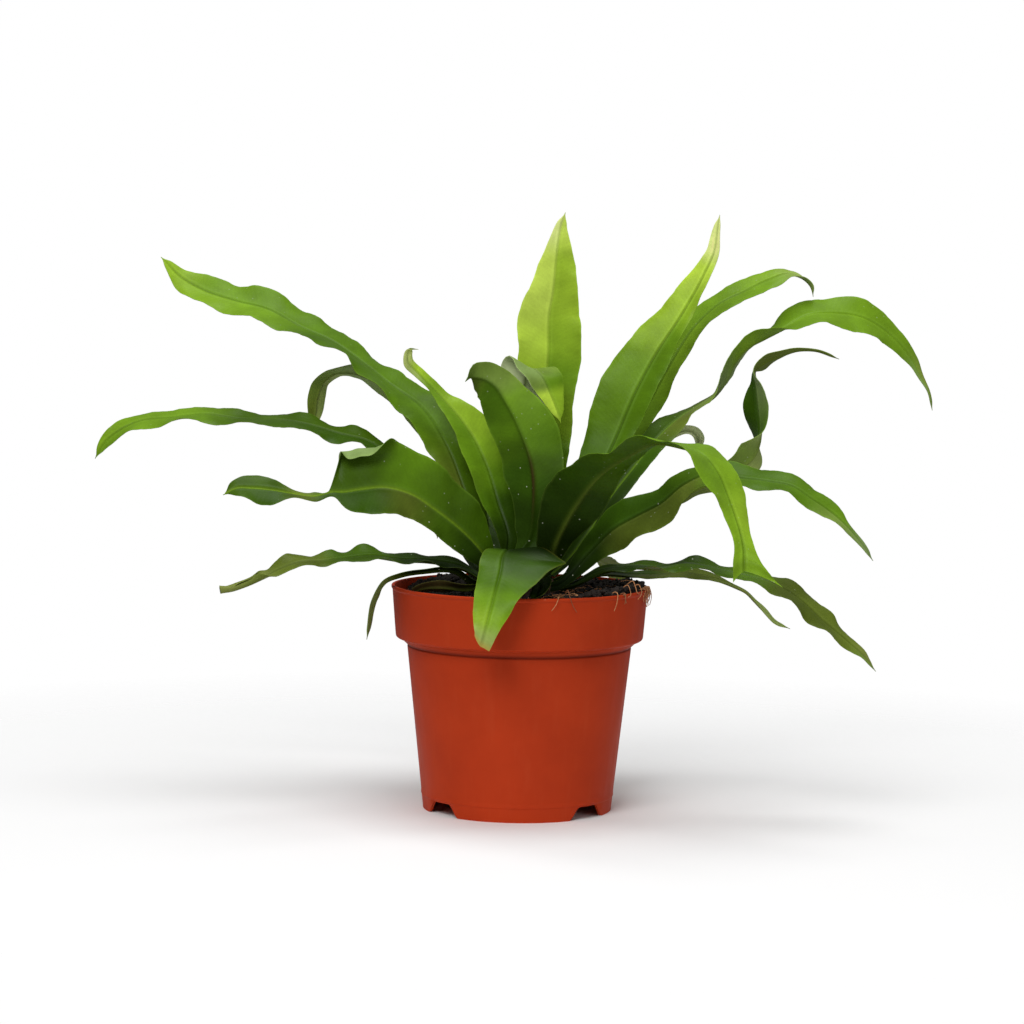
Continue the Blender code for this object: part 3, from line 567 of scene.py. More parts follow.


# ---------------------------------------------------------------- fronds
# "facing" is the way the blade looks and "seat" where it leaves the crown, in degrees. "stations" run
# along the midrib from the crown to the tip: x, y, height above the rim, half width left and right of
# the midrib, and roll in degrees. "wave" is the height and spacing of the edge's waves. "top" and
# "under" are colours along the blade (share of its length, left half, right half where it differs).
# "patches" are local colours (share, place across, reach along, reach across, colour, strength).
# "curls" turn a margin over between two shares (which side, where across it starts, degrees). "sweeps"
# push the edges along the blade (share, reach, which side, mm). A "blunt" blade has no tapered tip.
# These colours hold painted light too: darker stretches at bases and on inner blades are painted shade,
# grey-green and cream stretches painted sheen and highlights.
FRONDS = {
    "frond_left_high": dict(
        facing=158, seat=(166, 48), fold=9, wave=(1.8, 27),
        top=((0, DARK), (0.15, OLIVE, DEEP), (0.35, MID), (0.62, MOSS, MID), (0.76, FRESH, LEAF),
         (0.87, LIME, FRESH), (0.97, SPRING)),
        stations=((-20, 11, 23, 5, 5, -28), (-27, 20, 42, 8, 10, -34), (-36, 31, 63, 11, 13, -36),
         (-48, 42, 80, 14, 14, -25), (-65, 50, 92, 16, 13, -10), (-81, 57, 104, 16, 12, -3),
         (-94, 62, 112, 16, 13, -8), (-109, 67, 118, 16, 14, -12), (-125, 72, 126, 15, 14, -25),
         (-142, 76, 130, 12, 12, -30), (-158, 80, 135, 10, 10, -35), (-169, 83, 141, 6, 6, -35),
         (-179, 85, 151, 1, 1, -30))),
    "frond_left_long": dict(
        facing=172, seat=(188, 54), fold=7, wave=(1.9, 30),
        top=((0, SHADE_NIGHT, PINE), (0.45, DARK, DEEP), (0.66, DEEP), (0.77, LEAF, FRESH), (0.86, FRESH),
         (0.97, FRESH, LIME)),
        stations=((-27, 8, 18, 5, 4, -30), (-40, 16, 36, 7, 5, -25), (-57, 24, 53, 9, 7, -20),
         (-74, 29, 65, 11, 8, -17), (-87, 31, 68, 12, 9, -18), (-102, 33, 72, 12, 9, -15),
         (-116, 35, 74, 11, 9, -15), (-135, 37, 74, 10, 8, -16), (-152, 38, 76, 10, 9, -22),
         (-169, 39, 74, 8, 7, -20), (-184, 40, 72, 8, 7, -32), (-194, 40, 67, 5, 5, -50),
         (-201, 40, 61, 3, 3, -60), (-205, 40, 54, 1, 1, -55))),
    "frond_back_hooked": dict(
        facing=150, seat=(142, 50), fold=7, wave=(0.6, 26),
        top=((0, DARK, DEEP), (0.5, DULL, OLIVE), (1, OLIVE, FRESH)),
        under=((0, DARK), (0.6, SAGE), (0.76, GREY), (0.86, SAGE, SILVER), (0.96, OLIVE, SILVER)),
        stations=((-19, 24, 28, 5, 5, 70), (-34, 43, 53, 8, 8, 66), (-56, 62, 80, 9, 9, 60),
         (-72, 69, 92, 9, 9, 48), (-84, 72, 96, 7, 8, 30), (-93, 74, 95, 6, 7, 12), (-98, 75, 91, 6, 6, 8),
         (-101, 75, 84, 5, 6, 18), (-102, 75, 76, 4, 5, 22), (-103, 74, 68, 1, 1, 18))),
    "frond_left_broad": dict(
        facing=197, seat=(214, 46), fold=8, wave=(1, 24), curls=((0.5, 0.63, -1, 0.58, 165),), rib=SPRING,
        rib_strength=0.5,
        top=((0, SHADE_NIGHT, DARK), (0.15, PINE, MOSS), (0.27, DEEP), (0.42, DULL, MID), (0.56, DARK, DEEP),
         (0.68, DARK, DEEP), (0.75, DULL, OLIVE), (0.84, DARK, DEEP), (1, DEEP)),
        under=((0, DEEP), (0.4, SAGE, GREY), (0.7, SAGE, GREY), (1, SAGE)),
        stations=((-17, -14, 15, 7, 8, -60), (-27, -22, 27, 11, 15, -70), (-39, -29, 37, 11, 18, -66),
         (-51, -35, 45, 13, 21, -62), (-62, -40, 48, 14, 24, -60), (-74, -43, 47, 13, 26, -58),
         (-81, -45, 46, 10, 22, -55), (-85, -46, 46, 4, 5, -48), (-94, -49, 44, 4, 3, -30),
         (-102, -52, 45, 4, 3, -30), (-112, -55, 47, 9, 6, -42), (-122, -58, 48, 10, 8, -42),
         (-128, -60, 48, 7, 5, -36), (-134, -61, 45, 1, 1, -25))),
    "frond_left_wavy": dict(
        facing=203, seat=(240, 74), fold=6, wave=(1.9, 21), curls=((0.86, 1, 0, 0, 205),), blunt=True,
        top=((0, SHADE_INK, SHADE_NIGHT), (0.28, SHADE_INK, SHADE_NIGHT), (0.37, SHADE_NIGHT, PINE), (0.46, DEEP, MOSS), (0.58, DEEP, MOSS),
         (0.68, DULL, OLIVE), (0.78, OLIVE), (0.9, ASH), (0.97, ASH), (1, SHADE_INK)),
        under=((0, SHADE_NIGHT), (0.3, SHADE_INK), (0.5, DARK), (0.8, OLIVE), (1, ASH)),
        stations=((-26, -22, 10, 4, 5, -26), (-42, -31, 14, 5, 6, -18), (-55, -38, 15, 5, 7, -14),
         (-68, -44, 17, 6, 9, -16), (-80, -49, 16, 6, 9, -16), (-90, -53, 15, 6, 7, -14),
         (-97, -56, 15, 6, 9, -18), (-105, -60, 13, 5, 7, -18), (-114, -64, 9, 4, 5, -14),
         (-123, -68, 5, 3, 4, -15), (-129, -70, 3, 5, 5, -25), (-134, -71, 2, 6, 6, -40))),
    "frond_left_drooping": dict(
        facing=186, seat=(195, 72), fold=5, wave=(0.4, 20),
        top=((0, DARK), (0.5, MID), (1, LEAF)),
        under=((0, PINE), (0.25, SHADE_NIGHT), (0.47, SHADE_NIGHT), (0.56, DULL), (0.7, GREY), (1, GREY)),
        stations=((-30, -7, 7, 3, 3, 22), (-45, -10, 7, 3, 3, 20), (-56, -12, 5, 3, 3, 20),
         (-63, -13, 2, 3, 3, 22), (-67, -14, -5, 3, 4, 25), (-69, -14, -13, 3, 4, 25),
         (-70, -14, -19, 2, 3, 25), (-71, -14, -25, 1, 1, 20))),
    "frond_front_torn": dict(
        facing=268, seat=(268, 60), fold=7, wave=(0.8, 22), sweeps=((1, 0.07, -1, -4), (1, 0.05, 1, 1)),
        edge=TAN, blunt=True,
        top=((0, SHADE_NIGHT, PINE), (0.36, SHADE_INK, PINE), (0.45, PINE, DEEP), (0.55, DARK, MOSS), (0.66, MOSS),
         (0.76, LEAF, FRESH), (0.87, LIME, SPRING), (0.97, SILVER)),
        patches=((1, 0, 0.022, 3, TAN, 0.9),),
        stations=((-5, -27, 16, 6, 4, 3), (-6, -40, 20, 17, 7, 0), (-8, -50, 18, 29, 9, -8),
         (-9, -60, 12, 20, 10, -4), (-11, -68, 4, 13, 9, 0), (-13, -73, -4, 9, 8, 0),
         (-15, -76, -12, 6, 6, 0), (-17, -77, -20, 4, 4, 0))),
    "frond_young_curled": dict(
        facing=112, seat=(135, 22), fold=14, wave=(0.7, 24),
        top=((0, DEEP, DARK), (0.14, PINE), (0.25, MOSS, DARK), (0.35, LEAF, MID), (0.46, LEAF, LIME),
         (0.56, LEAF, SPRING), (0.68, FRESH, SPRING), (0.78, FRESH, LIME), (0.87, SILVER, BRIGHT),
         (0.96, CREAM_HIGHLIGHT)),
        stations=((-6, 7, 21, 6, 6, 10), (-11, 13, 37, 9, 10, 3), (-17, 19, 55, 11, 13, 4),
         (-25, 24, 70, 10, 13, 8), (-35, 28, 82, 7, 8, 14), (-43, 31, 90, 4, 5, 18),
         (-50, 32, 97, 3, 4, 20), (-55, 31, 103, 3, 3, 18), (-54, 29, 109, 2, 2, 10),
         (-50, 28, 109, 1, 1, 0))),
    "frond_centre_dark": dict(
        facing=240, seat=(262, 24), fold=12, wave=(0.9, 26), keel=PINE, keel_strength=0.4,
        top=((0, DARK), (0.8, DEEP), (1, SAGE)),
        under=((0, PINE), (0.27, PINE), (0.37, DARK), (0.46, DEEP, DARK), (0.56, MID, DEEP),
         (0.66, LEAF, MID), (0.76, FRESH, MOSS), (0.86, SAGE, MOSS), (1, SAGE, OLIVE)),
        patches=((0.4, 0, 0.13, 0.055, BROWN, 0.85),),
        stations=((4, -9, 22, 8, 8, 5), (6, -10, 39, 12, 12, 8), (5, -8, 56, 15, 16, 8),
         (0, -4, 71, 17, 15, 8), (-8, 0, 86, 12, 13, 20), (-14, 2, 94, 9, 10, 34), (-20, 3, 97, 8, 9, 42),
         (-25, 3, 97, 6, 7, 46), (-27, 3, 95, 3, 4, 46))),
    "frond_centre_folded": dict(
        facing=285, seat=(60, 20), fold=8, wave=(0.6, 26),
        top=((0, DEEP), (0.6, LEAF, GREY), (0.78, SAGE, GREY), (0.85, LEAF, SAGE), (0.89, SPRING, GLOW),
         (0.96, SPRING, GLOW)),
        # painted sheen on the shaded underside
        under=((0, DEEP), (0.5, GREY), (0.62, MIST_SHEEN), (0.84, MIST_SHEEN), (0.9, LIME), (1, BRIGHT)),
        stations=((6, 6, 24, 6, 6, 0), (4, 12, 49, 9, 9, 0), (1, 18, 74, 11, 11, 0), (0, 19, 92, 13, 12, -8),
         (3, 16, 101, 14, 13, -14), (9, 11, 97, 12, 12, -22), (13, 9, 89, 8, 8, -25),
         (16, 8, 82, 4, 4, -20), (18, 7, 76, 1, 1, -20))),
    "frond_centre_tall": dict(
        facing=92, seat=(92, 44), fold=14, wave=(0.9, 27),
        top=((0, MID, DEEP), (0.34, FRESH, MID), (0.45, BRIGHT, SPRING), (0.55, BRIGHT, FRESH),
         (0.65, GLOW, SPRING), (0.76, PALE, BRIGHT), (0.86, PALE, BRIGHT), (0.96, CREAM_HIGHLIGHT, PALE)),
        stations=((8, 27, 34, 8, 9, 0), (9, 34, 64, 12, 14, 0), (11, 37, 90, 14, 14, 0),
         (12, 38, 109, 15, 16, 0), (12, 39, 125, 15, 15, 0), (14, 39, 138, 12, 12, 0),
         (15, 39, 151, 8, 9, 0), (16, 39, 161, 5, 6, 0), (17, 39, 168, 3, 3, 0), (19, 38, 175, 1, 1, 0))),
    "frond_right_tall": dict(
        # stronger painted highlight on the ridges beside the midrib
        facing=60, seat=(30, 44), fold=14, wave=(0.8, 30), rib_strength=0.6, ridge_highlight_strength=0.6,
        top=((0, DARK), (0.34, MOSS), (0.45, LEAF, MID), (0.57, FRESH, MID), (0.66, SPRING, LEAF),
         (0.77, BRIGHT, SPRING), (0.86, GLOW), (0.92, CREAM_HIGHLIGHT)),
        stations=((24, 15, 26, 5, 5, 0), (34, 23, 46, 10, 7, 8), (44, 32, 66, 15, 8, 10),
         (54, 36, 90, 18, 10, 10), (64, 39, 109, 15, 9, 8), (75, 42, 126, 11, 6, 5),
         (86, 45, 146, 7, 4, 0), (91, 46, 158, 4, 3, -5), (92, 46, 166, 3, 2, -10),
         (93, 46, 175, 1, 1, -15))),
    "frond_right_high": dict(
        facing=48, seat=(56, 62), fold=8, wave=(0.9, 30),
        top=((0, DEEP), (0.45, LEAF, FRESH), (0.6, FRESH, LIME), (0.77, FRESH), (0.87, LIME, FRESH),
         (0.97, SILVER)),
        under=((0, DARK), (0.5, OLIVE), (0.85, OLIVE), (1, SILVER)),
        stations=((31, 35, 33, 6, 6, 12), (48, 53, 61, 9, 8, 12), (62, 62, 84, 11, 8, 10),
         (73, 68, 104, 11, 7, 4), (84, 72, 121, 10, 7, 0), (96, 75, 132, 10, 9, 0),
         (108, 78, 138, 9, 10, 8), (120, 81, 144, 8, 8, 15), (130, 83, 147, 5, 5, 18),
         (137, 84, 145, 4, 4, 28), (141, 84, 141, 3, 3, 35), (142, 84, 136, 1, 1, 40))),
    "frond_right_arching": dict(
        facing=25, seat=(8, 50), fold=8, wave=(1, 32), rib=LIME, rib_strength=0.4,
        top=((0, PINE, SHADE_NIGHT), (0.15, SHADE_NIGHT), (0.26, PINE, DARK), (0.36, DEEP, OLIVE), (0.46, DULL, SAGE),
         (0.6, LEAF), (0.76, FRESH), (0.87, FRESH), (0.97, ASH, GREY)),
        under=((0, DARK), (0.4, SAGE, GREY), (0.48, GREY), (0.55, GREY, LIME), (0.7, LEAF), (1, GREY)),
        stations=((30, 3, 22, 5, 5, 22), (41, 7, 40, 7, 7, 25), (53, 16, 55, 8, 8, 22),
         (65, 27, 69, 9, 9, 18), (76, 41, 78, 9, 9, 5), (86, 49, 84, 9, 9, -10), (92, 53, 88, 9, 9, -22),
         (97, 56, 94, 9, 9, -36), (102, 59, 104, 9, 9, -45), (108, 62, 111, 10, 10, -42),
         (117, 66, 116, 11, 11, -22), (127, 70, 121, 11, 12, 4), (139, 74, 127, 12, 13, 20),
         (152, 78, 128, 12, 13, 36), (166, 81, 126, 11, 12, 50), (177, 83, 120, 9, 9, 60),
         (185, 84, 113, 6, 6, 66), (191, 85, 106, 4, 4, 70), (196, 85, 97, 2, 2, 70),
         (200, 85, 90, 1, 1, 66), (202, 85, 81, 1, 1, 65))),
    "frond_right_twisted": dict(
        facing=22, seat=(346, 64), fold=6, wave=(0.6, 28),
        top=((0, SHADE_NIGHT), (0.4, DARK), (0.62, DARK, MOSS), (0.75, DARK, GREY), (0.86, DEEP, SAGE), (1, OLIVE)),
        under=((0, SHADE_NIGHT), (0.4, OLIVE), (0.55, SILVER, SAGE), (0.66, SILVER), (0.74, OLIVE), (1, OLIVE)),
        stations=((37, 1, 17, 4, 4, -58), (61, 10, 34, 5, 5, -55), (82, 17, 45, 6, 6, -52),
         (100, 22, 53, 9, 9, -58), (110, 25, 61, 11, 11, -62), (113, 28, 72, 10, 9, -10),
         (112, 30, 84, 10, 9, 12), (111, 31, 94, 8, 8, -2), (110, 32, 101, 6, 6, -26),
         (115, 33, 105, 7, 6, -44), (122, 35, 108, 5, 5, -32), (131, 37, 111, 3, 3, -20),
         (139, 38, 111, 2, 2, -12), (151, 39, 107, 1, 1, -15))),
    "frond_right_forked": dict(
        facing=318, seat=(318, 46), fold=8, wave=(1.1, 25), sweeps=((1, 0.07, 1, 7), (1, 0.05, -1, 5)),
        rib_strength=0.6, blunt=True,
        top=((0, DARK), (0.5, LEAF), (0.66, FRESH), (0.76, LIME, FRESH), (0.86, SPRING, LIME), (0.97, LIME)),
        under=((0, DEEP), (0.14, SHADE_NIGHT), (0.27, PINE), (0.36, DEEP, DARK), (0.46, MOSS, DEEP), (0.6, MOSS),
         (1, OLIVE)),
        stations=((16, -24, 22, 8, 9, -30), (25, -38, 41, 13, 16, -42), (36, -52, 57, 12, 15, -22),
         (48, -64, 66, 12, 14, -3), (59, -73, 72, 13, 13, -6), (70, -81, 71, 13, 13, -8),
         (79, -88, 68, 13, 14, -4), (86, -93, 60, 12, 15, 0), (90, -96, 51, 10, 11, 0),
         (93, -100, 43, 8, 8, 5), (96, -105, 33, 5, 5, 12), (97, -109, 27, 7, 5, 25),
         (97, -112, 23, 12, 5, 40), (97, -113, 19, 17, 5, 48))),
    "frond_right_middle": dict(
        facing=340, seat=(322, 72), fold=7, wave=(1.3, 26),
        top=((0, SHADE_INK), (0.06, SHADE_INK), (0.15, PINE, SHADE_NIGHT), (0.26, DARK, DULL), (0.37, DARK, DULL),
         (0.46, DEEP, OLIVE), (0.56, MOSS, MID), (0.67, MOSS), (0.77, MID), (0.87, LEAF, SAGE),
         (0.97, GREY)),
        under=((0, DARK, PINE), (0.5, DULL, DARK), (1, OLIVE)),
        stations=((32, -18, 17, 8, 8, 55), (43, -25, 29, 11, 12, 60), (54, -31, 36, 11, 14, 50),
         (64, -36, 42, 10, 16, 46), (74, -41, 51, 9, 13, 40), (84, -45, 56, 10, 10, 30),
         (99, -50, 55, 11, 10, 24), (111, -54, 54, 10, 9, 20), (122, -57, 52, 9, 9, 20),
         (130, -60, 47, 8, 8, 20), (139, -62, 41, 6, 7, 20), (147, -64, 34, 3, 4, 20),
         (153, -65, 27, 2, 2, 18), (158, -65, 20, 1, 1, 12))),
    "frond_right_low": dict(
        facing=352, seat=(350, 76), fold=6, wave=(1.8, 22),
        top=((0, SHADE_NIGHT), (0.16, SHADE_NIGHT), (0.26, DEEP, PINE), (0.36, PINE, DEEP), (0.46, DEEP), (0.56, MID),
         (0.66, DULL), (0.78, OLIVE, DULL), (0.88, OLIVE), (0.98, ASH, SAGE)),
        stations=((37, -10, 8, 5, 6, 16), (51, -13, 11, 6, 8, 8), (65, -16, 11, 7, 9, 7),
         (76, -19, 13, 8, 10, 12), (86, -21, 12, 8, 11, 10), (96, -23, 10, 8, 11, 10),
         (106, -25, 8, 8, 11, 12), (117, -27, 5, 9, 11, 16), (129, -29, -2, 9, 10, 22),
         (139, -31, -11, 8, 9, 25), (150, -32, -20, 5, 6, 25), (158, -33, -27, 3, 3, 22),
         (164, -33, -34, 1, 1, 18))),
    "frond_right_thin": dict(
        facing=4, seat=(14, 80), fold=5, wave=(0.7, 24),
        top=((0, SHADE_INK), (0.25, SHADE_NIGHT), (0.36, DEEP, DULL), (0.46, OLIVE), (0.56, OLIVE, DULL), (0.67, OLIVE),
         (0.77, SAGE, ASH), (0.86, SILVER), (1, SILVER)),
        stations=((35, 7, 5, 4, 4, 15), (54, 8, 5, 6, 6, 10), (65, 9, 5, 7, 7, 12), (76, 10, 6, 7, 7, 18),
         (85, 11, 5, 6, 6, 18), (93, 11, 3, 5, 5, 14), (101, 12, 0, 3, 3, 10), (107, 12, -3, 2, 2, 10),
         (111, 12, -7, 2, 2, 15), (116, 12, -12, 3, 3, 25), (121, 12, -17, 2, 2, 25),
         (128, 12, -20, 1, 1, 20))),
    "frond_back_curled": dict(
        facing=52, seat=(38, 76), fold=5, wave=(0.3, 24),
        top=((0, DARK), (0.6, GREY), (1, GREY)),
        under=((0, DARK), (0.7, SILVER), (1, MIST_SHEEN)),
        stations=((38, 36, 26, 3, 3, -70), (56, 52, 50, 4, 4, -75), (70, 61, 66, 4, 4, -72),
         (77, 65, 70, 4, 4, -50), (83, 68, 70, 4, 4, -20), (86, 70, 67, 4, 4, 8), (86, 70, 61, 2, 2, 18),
         (83, 69, 56, 1, 1, 20))),
    "frond_back_left": dict(
        facing=118, seat=(112, 74), fold=8, wave=(1.3, 26),
        top=((0, DARK), (0.3, PINE), (1, LEAF)),
        stations=((-8, 34, 14, 6, 6, 0), (-16, 50, 24, 10, 10, 4), (-24, 66, 30, 12, 12, 6),
         (-31, 80, 31, 12, 12, 6), (-36, 93, 27, 9, 9, 4), (-40, 102, 20, 5, 5, 0),
         (-42, 108, 12, 1, 1, 0))),
    "frond_back_middle": dict(
        facing=88, seat=(84, 78), fold=8, wave=(1.3, 26),
        top=((0, DARK), (1, LEAF)),
        stations=((6, 34, 18, 6, 6, 0), (8, 50, 32, 10, 10, -4), (10, 65, 41, 12, 12, -6),
         (12, 80, 44, 12, 12, -6), (13, 93, 41, 9, 9, -4), (14, 103, 34, 5, 5, 0),
         (14, 109, 26, 1, 1, 0))),
    "frond_back_right": dict(
        facing=66, seat=(62, 76), fold=8, wave=(1.3, 26),
        top=((0, DARK), (1, LEAF)),
        stations=((18, 32, 7, 6, 6, 0), (26, 48, 8, 7, 7, 4), (33, 64, 8, 8, 8, 6), (40, 80, 5, 9, 9, 6),
         (46, 93, -1, 7, 7, 4), (50, 102, -9, 4, 4, 0), (52, 107, -16, 1, 1, 0))),
    "old_leaf_base": dict(
        facing=205, seat=(215, 76), fold=4, wave=(0.5, 12),
        top=((0, BROWN), (1, KHAKI)),
        under=((0, DULL), (0.25, DULL), (0.4, UMBER), (0.65, KHAKI), (1, KHAKI)),
        stations=((-25, -18, 0, 4, 4, 25), (-36, -22, 1, 5, 5, 35), (-46, -22, 0, 4, 4, 40),
         (-52, -20, -3, 1, 1, 45))),
    "frond_front_small": dict(
        facing=290, seat=(292, 76), fold=8, wave=(0.5, 16),
        top=((0, SHADE_INK), (0.8, SHADE_INK), (1, SHADE_INK, DEEP)),
        stations=((9, -30, 5, 4, 4, 20), (10, -42, 4, 5, 5, 30), (8, -52, 1, 4, 4, 30),
         (5, -57, -1, 1, 1, 30))),
}


# ---------------------------------------------------------------- pot
def band_radius(height):
    return RIM_RADIUS - BAND_TAPER * (POT_HEIGHT - height) / BAND_HEIGHT


BAND_BOTTOM = POT_HEIGHT - BAND_HEIGHT
BODY_TOP = BAND_BOTTOM - SHOULDER_DROP


def body_radius(height):
    top = RIM_RADIUS - BAND_TAPER - SHOULDER_DEPTH
    return top - BODY_TAPER * (BODY_TOP - height) / BODY_TOP


def inner_radius(height):
    heights = (0.0, BODY_TOP - WALL, BAND_BOTTOM + WALL, POT_HEIGHT)
    radii = (
        body_radius(0.0) - WALL, body_radius(BODY_TOP) - WALL,
        band_radius(BAND_BOTTOM + WALL) - WALL, RIM_RADIUS - WALL)
    return np.interp(height, heights, radii)


def notch_lift(degrees):
    from_foot = np.abs((degrees + 60.0) % 120.0 - 60.0)
    rise = smoothstep(0.0, 1.0, (from_foot - FOOT_HALF_ANGLE) / FOOT_FLARE)
    from_front = np.abs((degrees + 180.0) % 360.0 - 180.0)
    fall = smoothstep(1.0, 0.0, (from_front - SIDE_FOOT_START) / FOOT_FLARE)
    return NOTCH_HEIGHT * np.where(from_front < 120.0, np.minimum(rise, fall), rise)


def rounded(corners):
    """Points along a profile of (radius, height, corner radius), with each corner rounded."""
    corners = [(np.array(corner[:2], float), corner[2]) for corner in corners]
    result = []
    for index, (point, turn) in enumerate(corners):
        if turn <= 0.0 or index in (0, len(corners) - 1):
            result.append(point)
            continue
        before, after = corners[index - 1][0], corners[index + 1][0]
        back, ahead = unit(before - point), unit(after - point)
        reach = min(turn, 0.49 * np.linalg.norm(before - point), 0.49 * np.linalg.norm(after - point))
        for part in np.linspace(0.0, 1.0, 6):
            start, end = point + back * reach, point + ahead * reach
            result.append((1 - part) ** 2 * start + 2 * part * (1 - part) * point + part**2 * end)
    return result


def pot_rings():
    """The pot's outline from the hole in its floor, under and up the outside, over the rim and back."""
    ridge = 6.4
    outside = rounded((
        (body_radius(0.0), 0.0, 0.0),
        (body_radius(ridge), ridge, 0.3),
        (body_radius(ridge) + 0.28, ridge + 0.45, 0.3),
        (body_radius(ridge + 1.0) + 0.2, ridge + 1.1, 0.4),
        (body_radius(ridge + 2.4), ridge + 2.4, 0.5),
        (body_radius(40.0), 40.0, 0.0),
        (body_radius(BODY_TOP - 1.1), BODY_TOP - 1.1, 0.3),
        (body_radius(BODY_TOP) - 0.5, BODY_TOP - 0.4, 0.3),
        (body_radius(BODY_TOP) - 0.2, BODY_TOP + 0.5, 0.3),
        (band_radius(BAND_BOTTOM) - 2.2, BAND_BOTTOM + 0.1, 0.7),
        (band_radius(BAND_BOTTOM), BAND_BOTTOM + 0.6, 1.4),
        (band_radius(BAND_BOTTOM + 8.0), BAND_BOTTOM + 8.0, 0.0),
        (band_radius(POT_HEIGHT - LIP_HEIGHT - 0.4), POT_HEIGHT - LIP_HEIGHT - 0.4, 0.3),
        (RIM_RADIUS + LIP, POT_HEIGHT - LIP_HEIGHT + 0.2, 0.4),
        (RIM_RADIUS + LIP, POT_HEIGHT, 0.5),
        (RIM_RADIUS - WALL, POT_HEIGHT, 0.35),
        (inner_radius(BAND_BOTTOM + WALL), BAND_BOTTOM + WALL, 0.0),
        (inner_radius(BODY_TOP - WALL), BODY_TOP - WALL, 0.0),
        (inner_radius(FLOOR_RISE + WALL), FLOOR_RISE + WALL, 0.0),
        (HOLE_RADIUS, FLOOR_RISE + WALL, 0.0)))
    inside = [np.array((HOLE_RADIUS, FLOOR_RISE)), np.array((body_radius(FLOOR_RISE) - WALL, FLOOR_RISE)),
              np.array((body_radius(0.0) - WALL, 0.0))]
    return inside + outside


def make_pot():
    steps = 432
    rings = pot_rings()
    degrees = np.linspace(0.0, 360.0, steps, endpoint=False)
    lift = notch_lift(degrees)
    around = np.radians(degrees + POT_TURN - 90.0)
    points = []
    for number, (radius, height) in enumerate(rings):
        level = np.maximum(height, lift) if number >= 2 and height < NOTCH_HEIGHT else height + 0 * lift
        points.append(np.stack((radius * np.cos(around), radius * np.sin(around), level), axis=-1))
    points = np.concatenate(points)
    rows = len(rings)
    faces = list(grid_faces(rows, steps, wrap=True))
    last = (rows - 1) * steps
    for step in range(steps):
        beside = (step + 1) % steps
        faces.append((last + step, last + beside, beside, step))
    pot = add_mesh("moulded_pot", points, faces, pot_material(), sharp=0)
    bore_holes(pot)
    pot.data.set_sharp_from_angle(angle=np.radians(50.0))
    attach(pot, "root")
    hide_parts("pot")


def bore_holes(pot):
    """Cut the drainage holes through the floor and keep the result as the pot's mesh."""
    around, plugs = circle(HOLE_SIDES), []
    for number in range(HOLE_COUNT):
        across = np.radians(360.0 * (number + 0.5) / HOLE_COUNT - 90.0)
        x = HOLE_CIRCLE * np.cos(across) + HOLE_RADIUS * np.cos(around)
        y = HOLE_CIRCLE * np.sin(across) + HOLE_RADIUS * np.sin(around)
        heights = (FLOOR_RISE - 3.0, FLOOR_RISE + WALL + 3.0)
        ends = [np.stack((x, y, 0 * x + height), axis=-1) for height in heights]
        plugs.append((np.concatenate(ends), capped_faces(2, HOLE_SIDES)))
    cutter = add_mesh("hole_cutter", *joined(plugs), pot.data.materials[0], sharp=0)
    cut = pot.modifiers.new("holes", "BOOLEAN")
    cut.operation = "DIFFERENCE"
    cut.solver = "EXACT"
    cut.object = cutter
    result = bpy.data.meshes.new_from_object(pot.evaluated_get(bpy.context.evaluated_depsgraph_get()))
    pot.modifiers.clear()
    pot.data = result
    bpy.data.objects.remove(cutter, do_unlink=True)


def pot_material():
    """Terracotta-coloured plastic with scuffs, dust and fine drag marks, and painted shade in the groove under
    the band.
    """
    nodes = Nodes("terracotta_plastic")
    coordinates = object_coordinates(nodes)
    stretched = nodes.add("ShaderNodeMapping")
    stretched.inputs["Scale"].default_value = (1.0, 1.0, 0.12)
    nodes.link(coordinates, stretched.inputs["Vector"])
    streaks = nodes.noise(stretched.outputs[0], 220.0, 4.0, 0.6)
    cloudy = nodes.noise(coordinates, 28.0, 4.0, 0.55)
    grain = nodes.noise(coordinates, 1500.0, 2.0, 0.6)
    base = nodes.mix(nodes.ramp(cloudy, 0.35, 0.68), srgb(186, 60, 26), srgb(174, 55, 24))
    base = nodes.mix(nodes.ramp(streaks, 0.52, 0.75, 0.0, 0.12), base, srgb(196, 84, 52))
    distance, lot = nodes.cells(coordinates, 170.0)
    specks = nodes.times(nodes.ramp(distance, 0.13, 0.05), nodes.ramp(lot, 0.9, 0.93))
    base = nodes.mix(nodes.times(specks, 0.55), base, srgb(226, 170, 140))
    dark = nodes.times(nodes.ramp(distance, 0.12, 0.05), nodes.ramp(lot, 0.06, 0.04))
    base = nodes.mix(nodes.times(dark, 0.6), base, srgb(96, 30, 18))
    # Painted shade: a dark ring on the body just under the band, where the band shades the groove.
    level = nodes.add("ShaderNodeSeparateXYZ")
    nodes.link(coordinates, level.inputs[0])
    low, high = (BODY_TOP - 1.4) * MM, (BODY_TOP + 1.3) * MM
    groove_shade = nodes.times(
        nodes.ramp(level.outputs[2], low, low + 0.0009), nodes.ramp(level.outputs[2], high, high - 0.0014))
    base = nodes.mix(nodes.times(groove_shade, 0.75), base, srgb(92, 26, 14))
    rough = nodes.ramp(streaks, 0.3, 0.8, 0.36, 0.56)
    height = nodes.plus(nodes.times(grain, 0.35), nodes.times(cloudy, 3.0))
    height = nodes.plus(height, nodes.times(streaks, 0.8))
    return nodes.finish(base, rough, nodes.bump(height, 0.0001, 0.7), gloss=0.05)


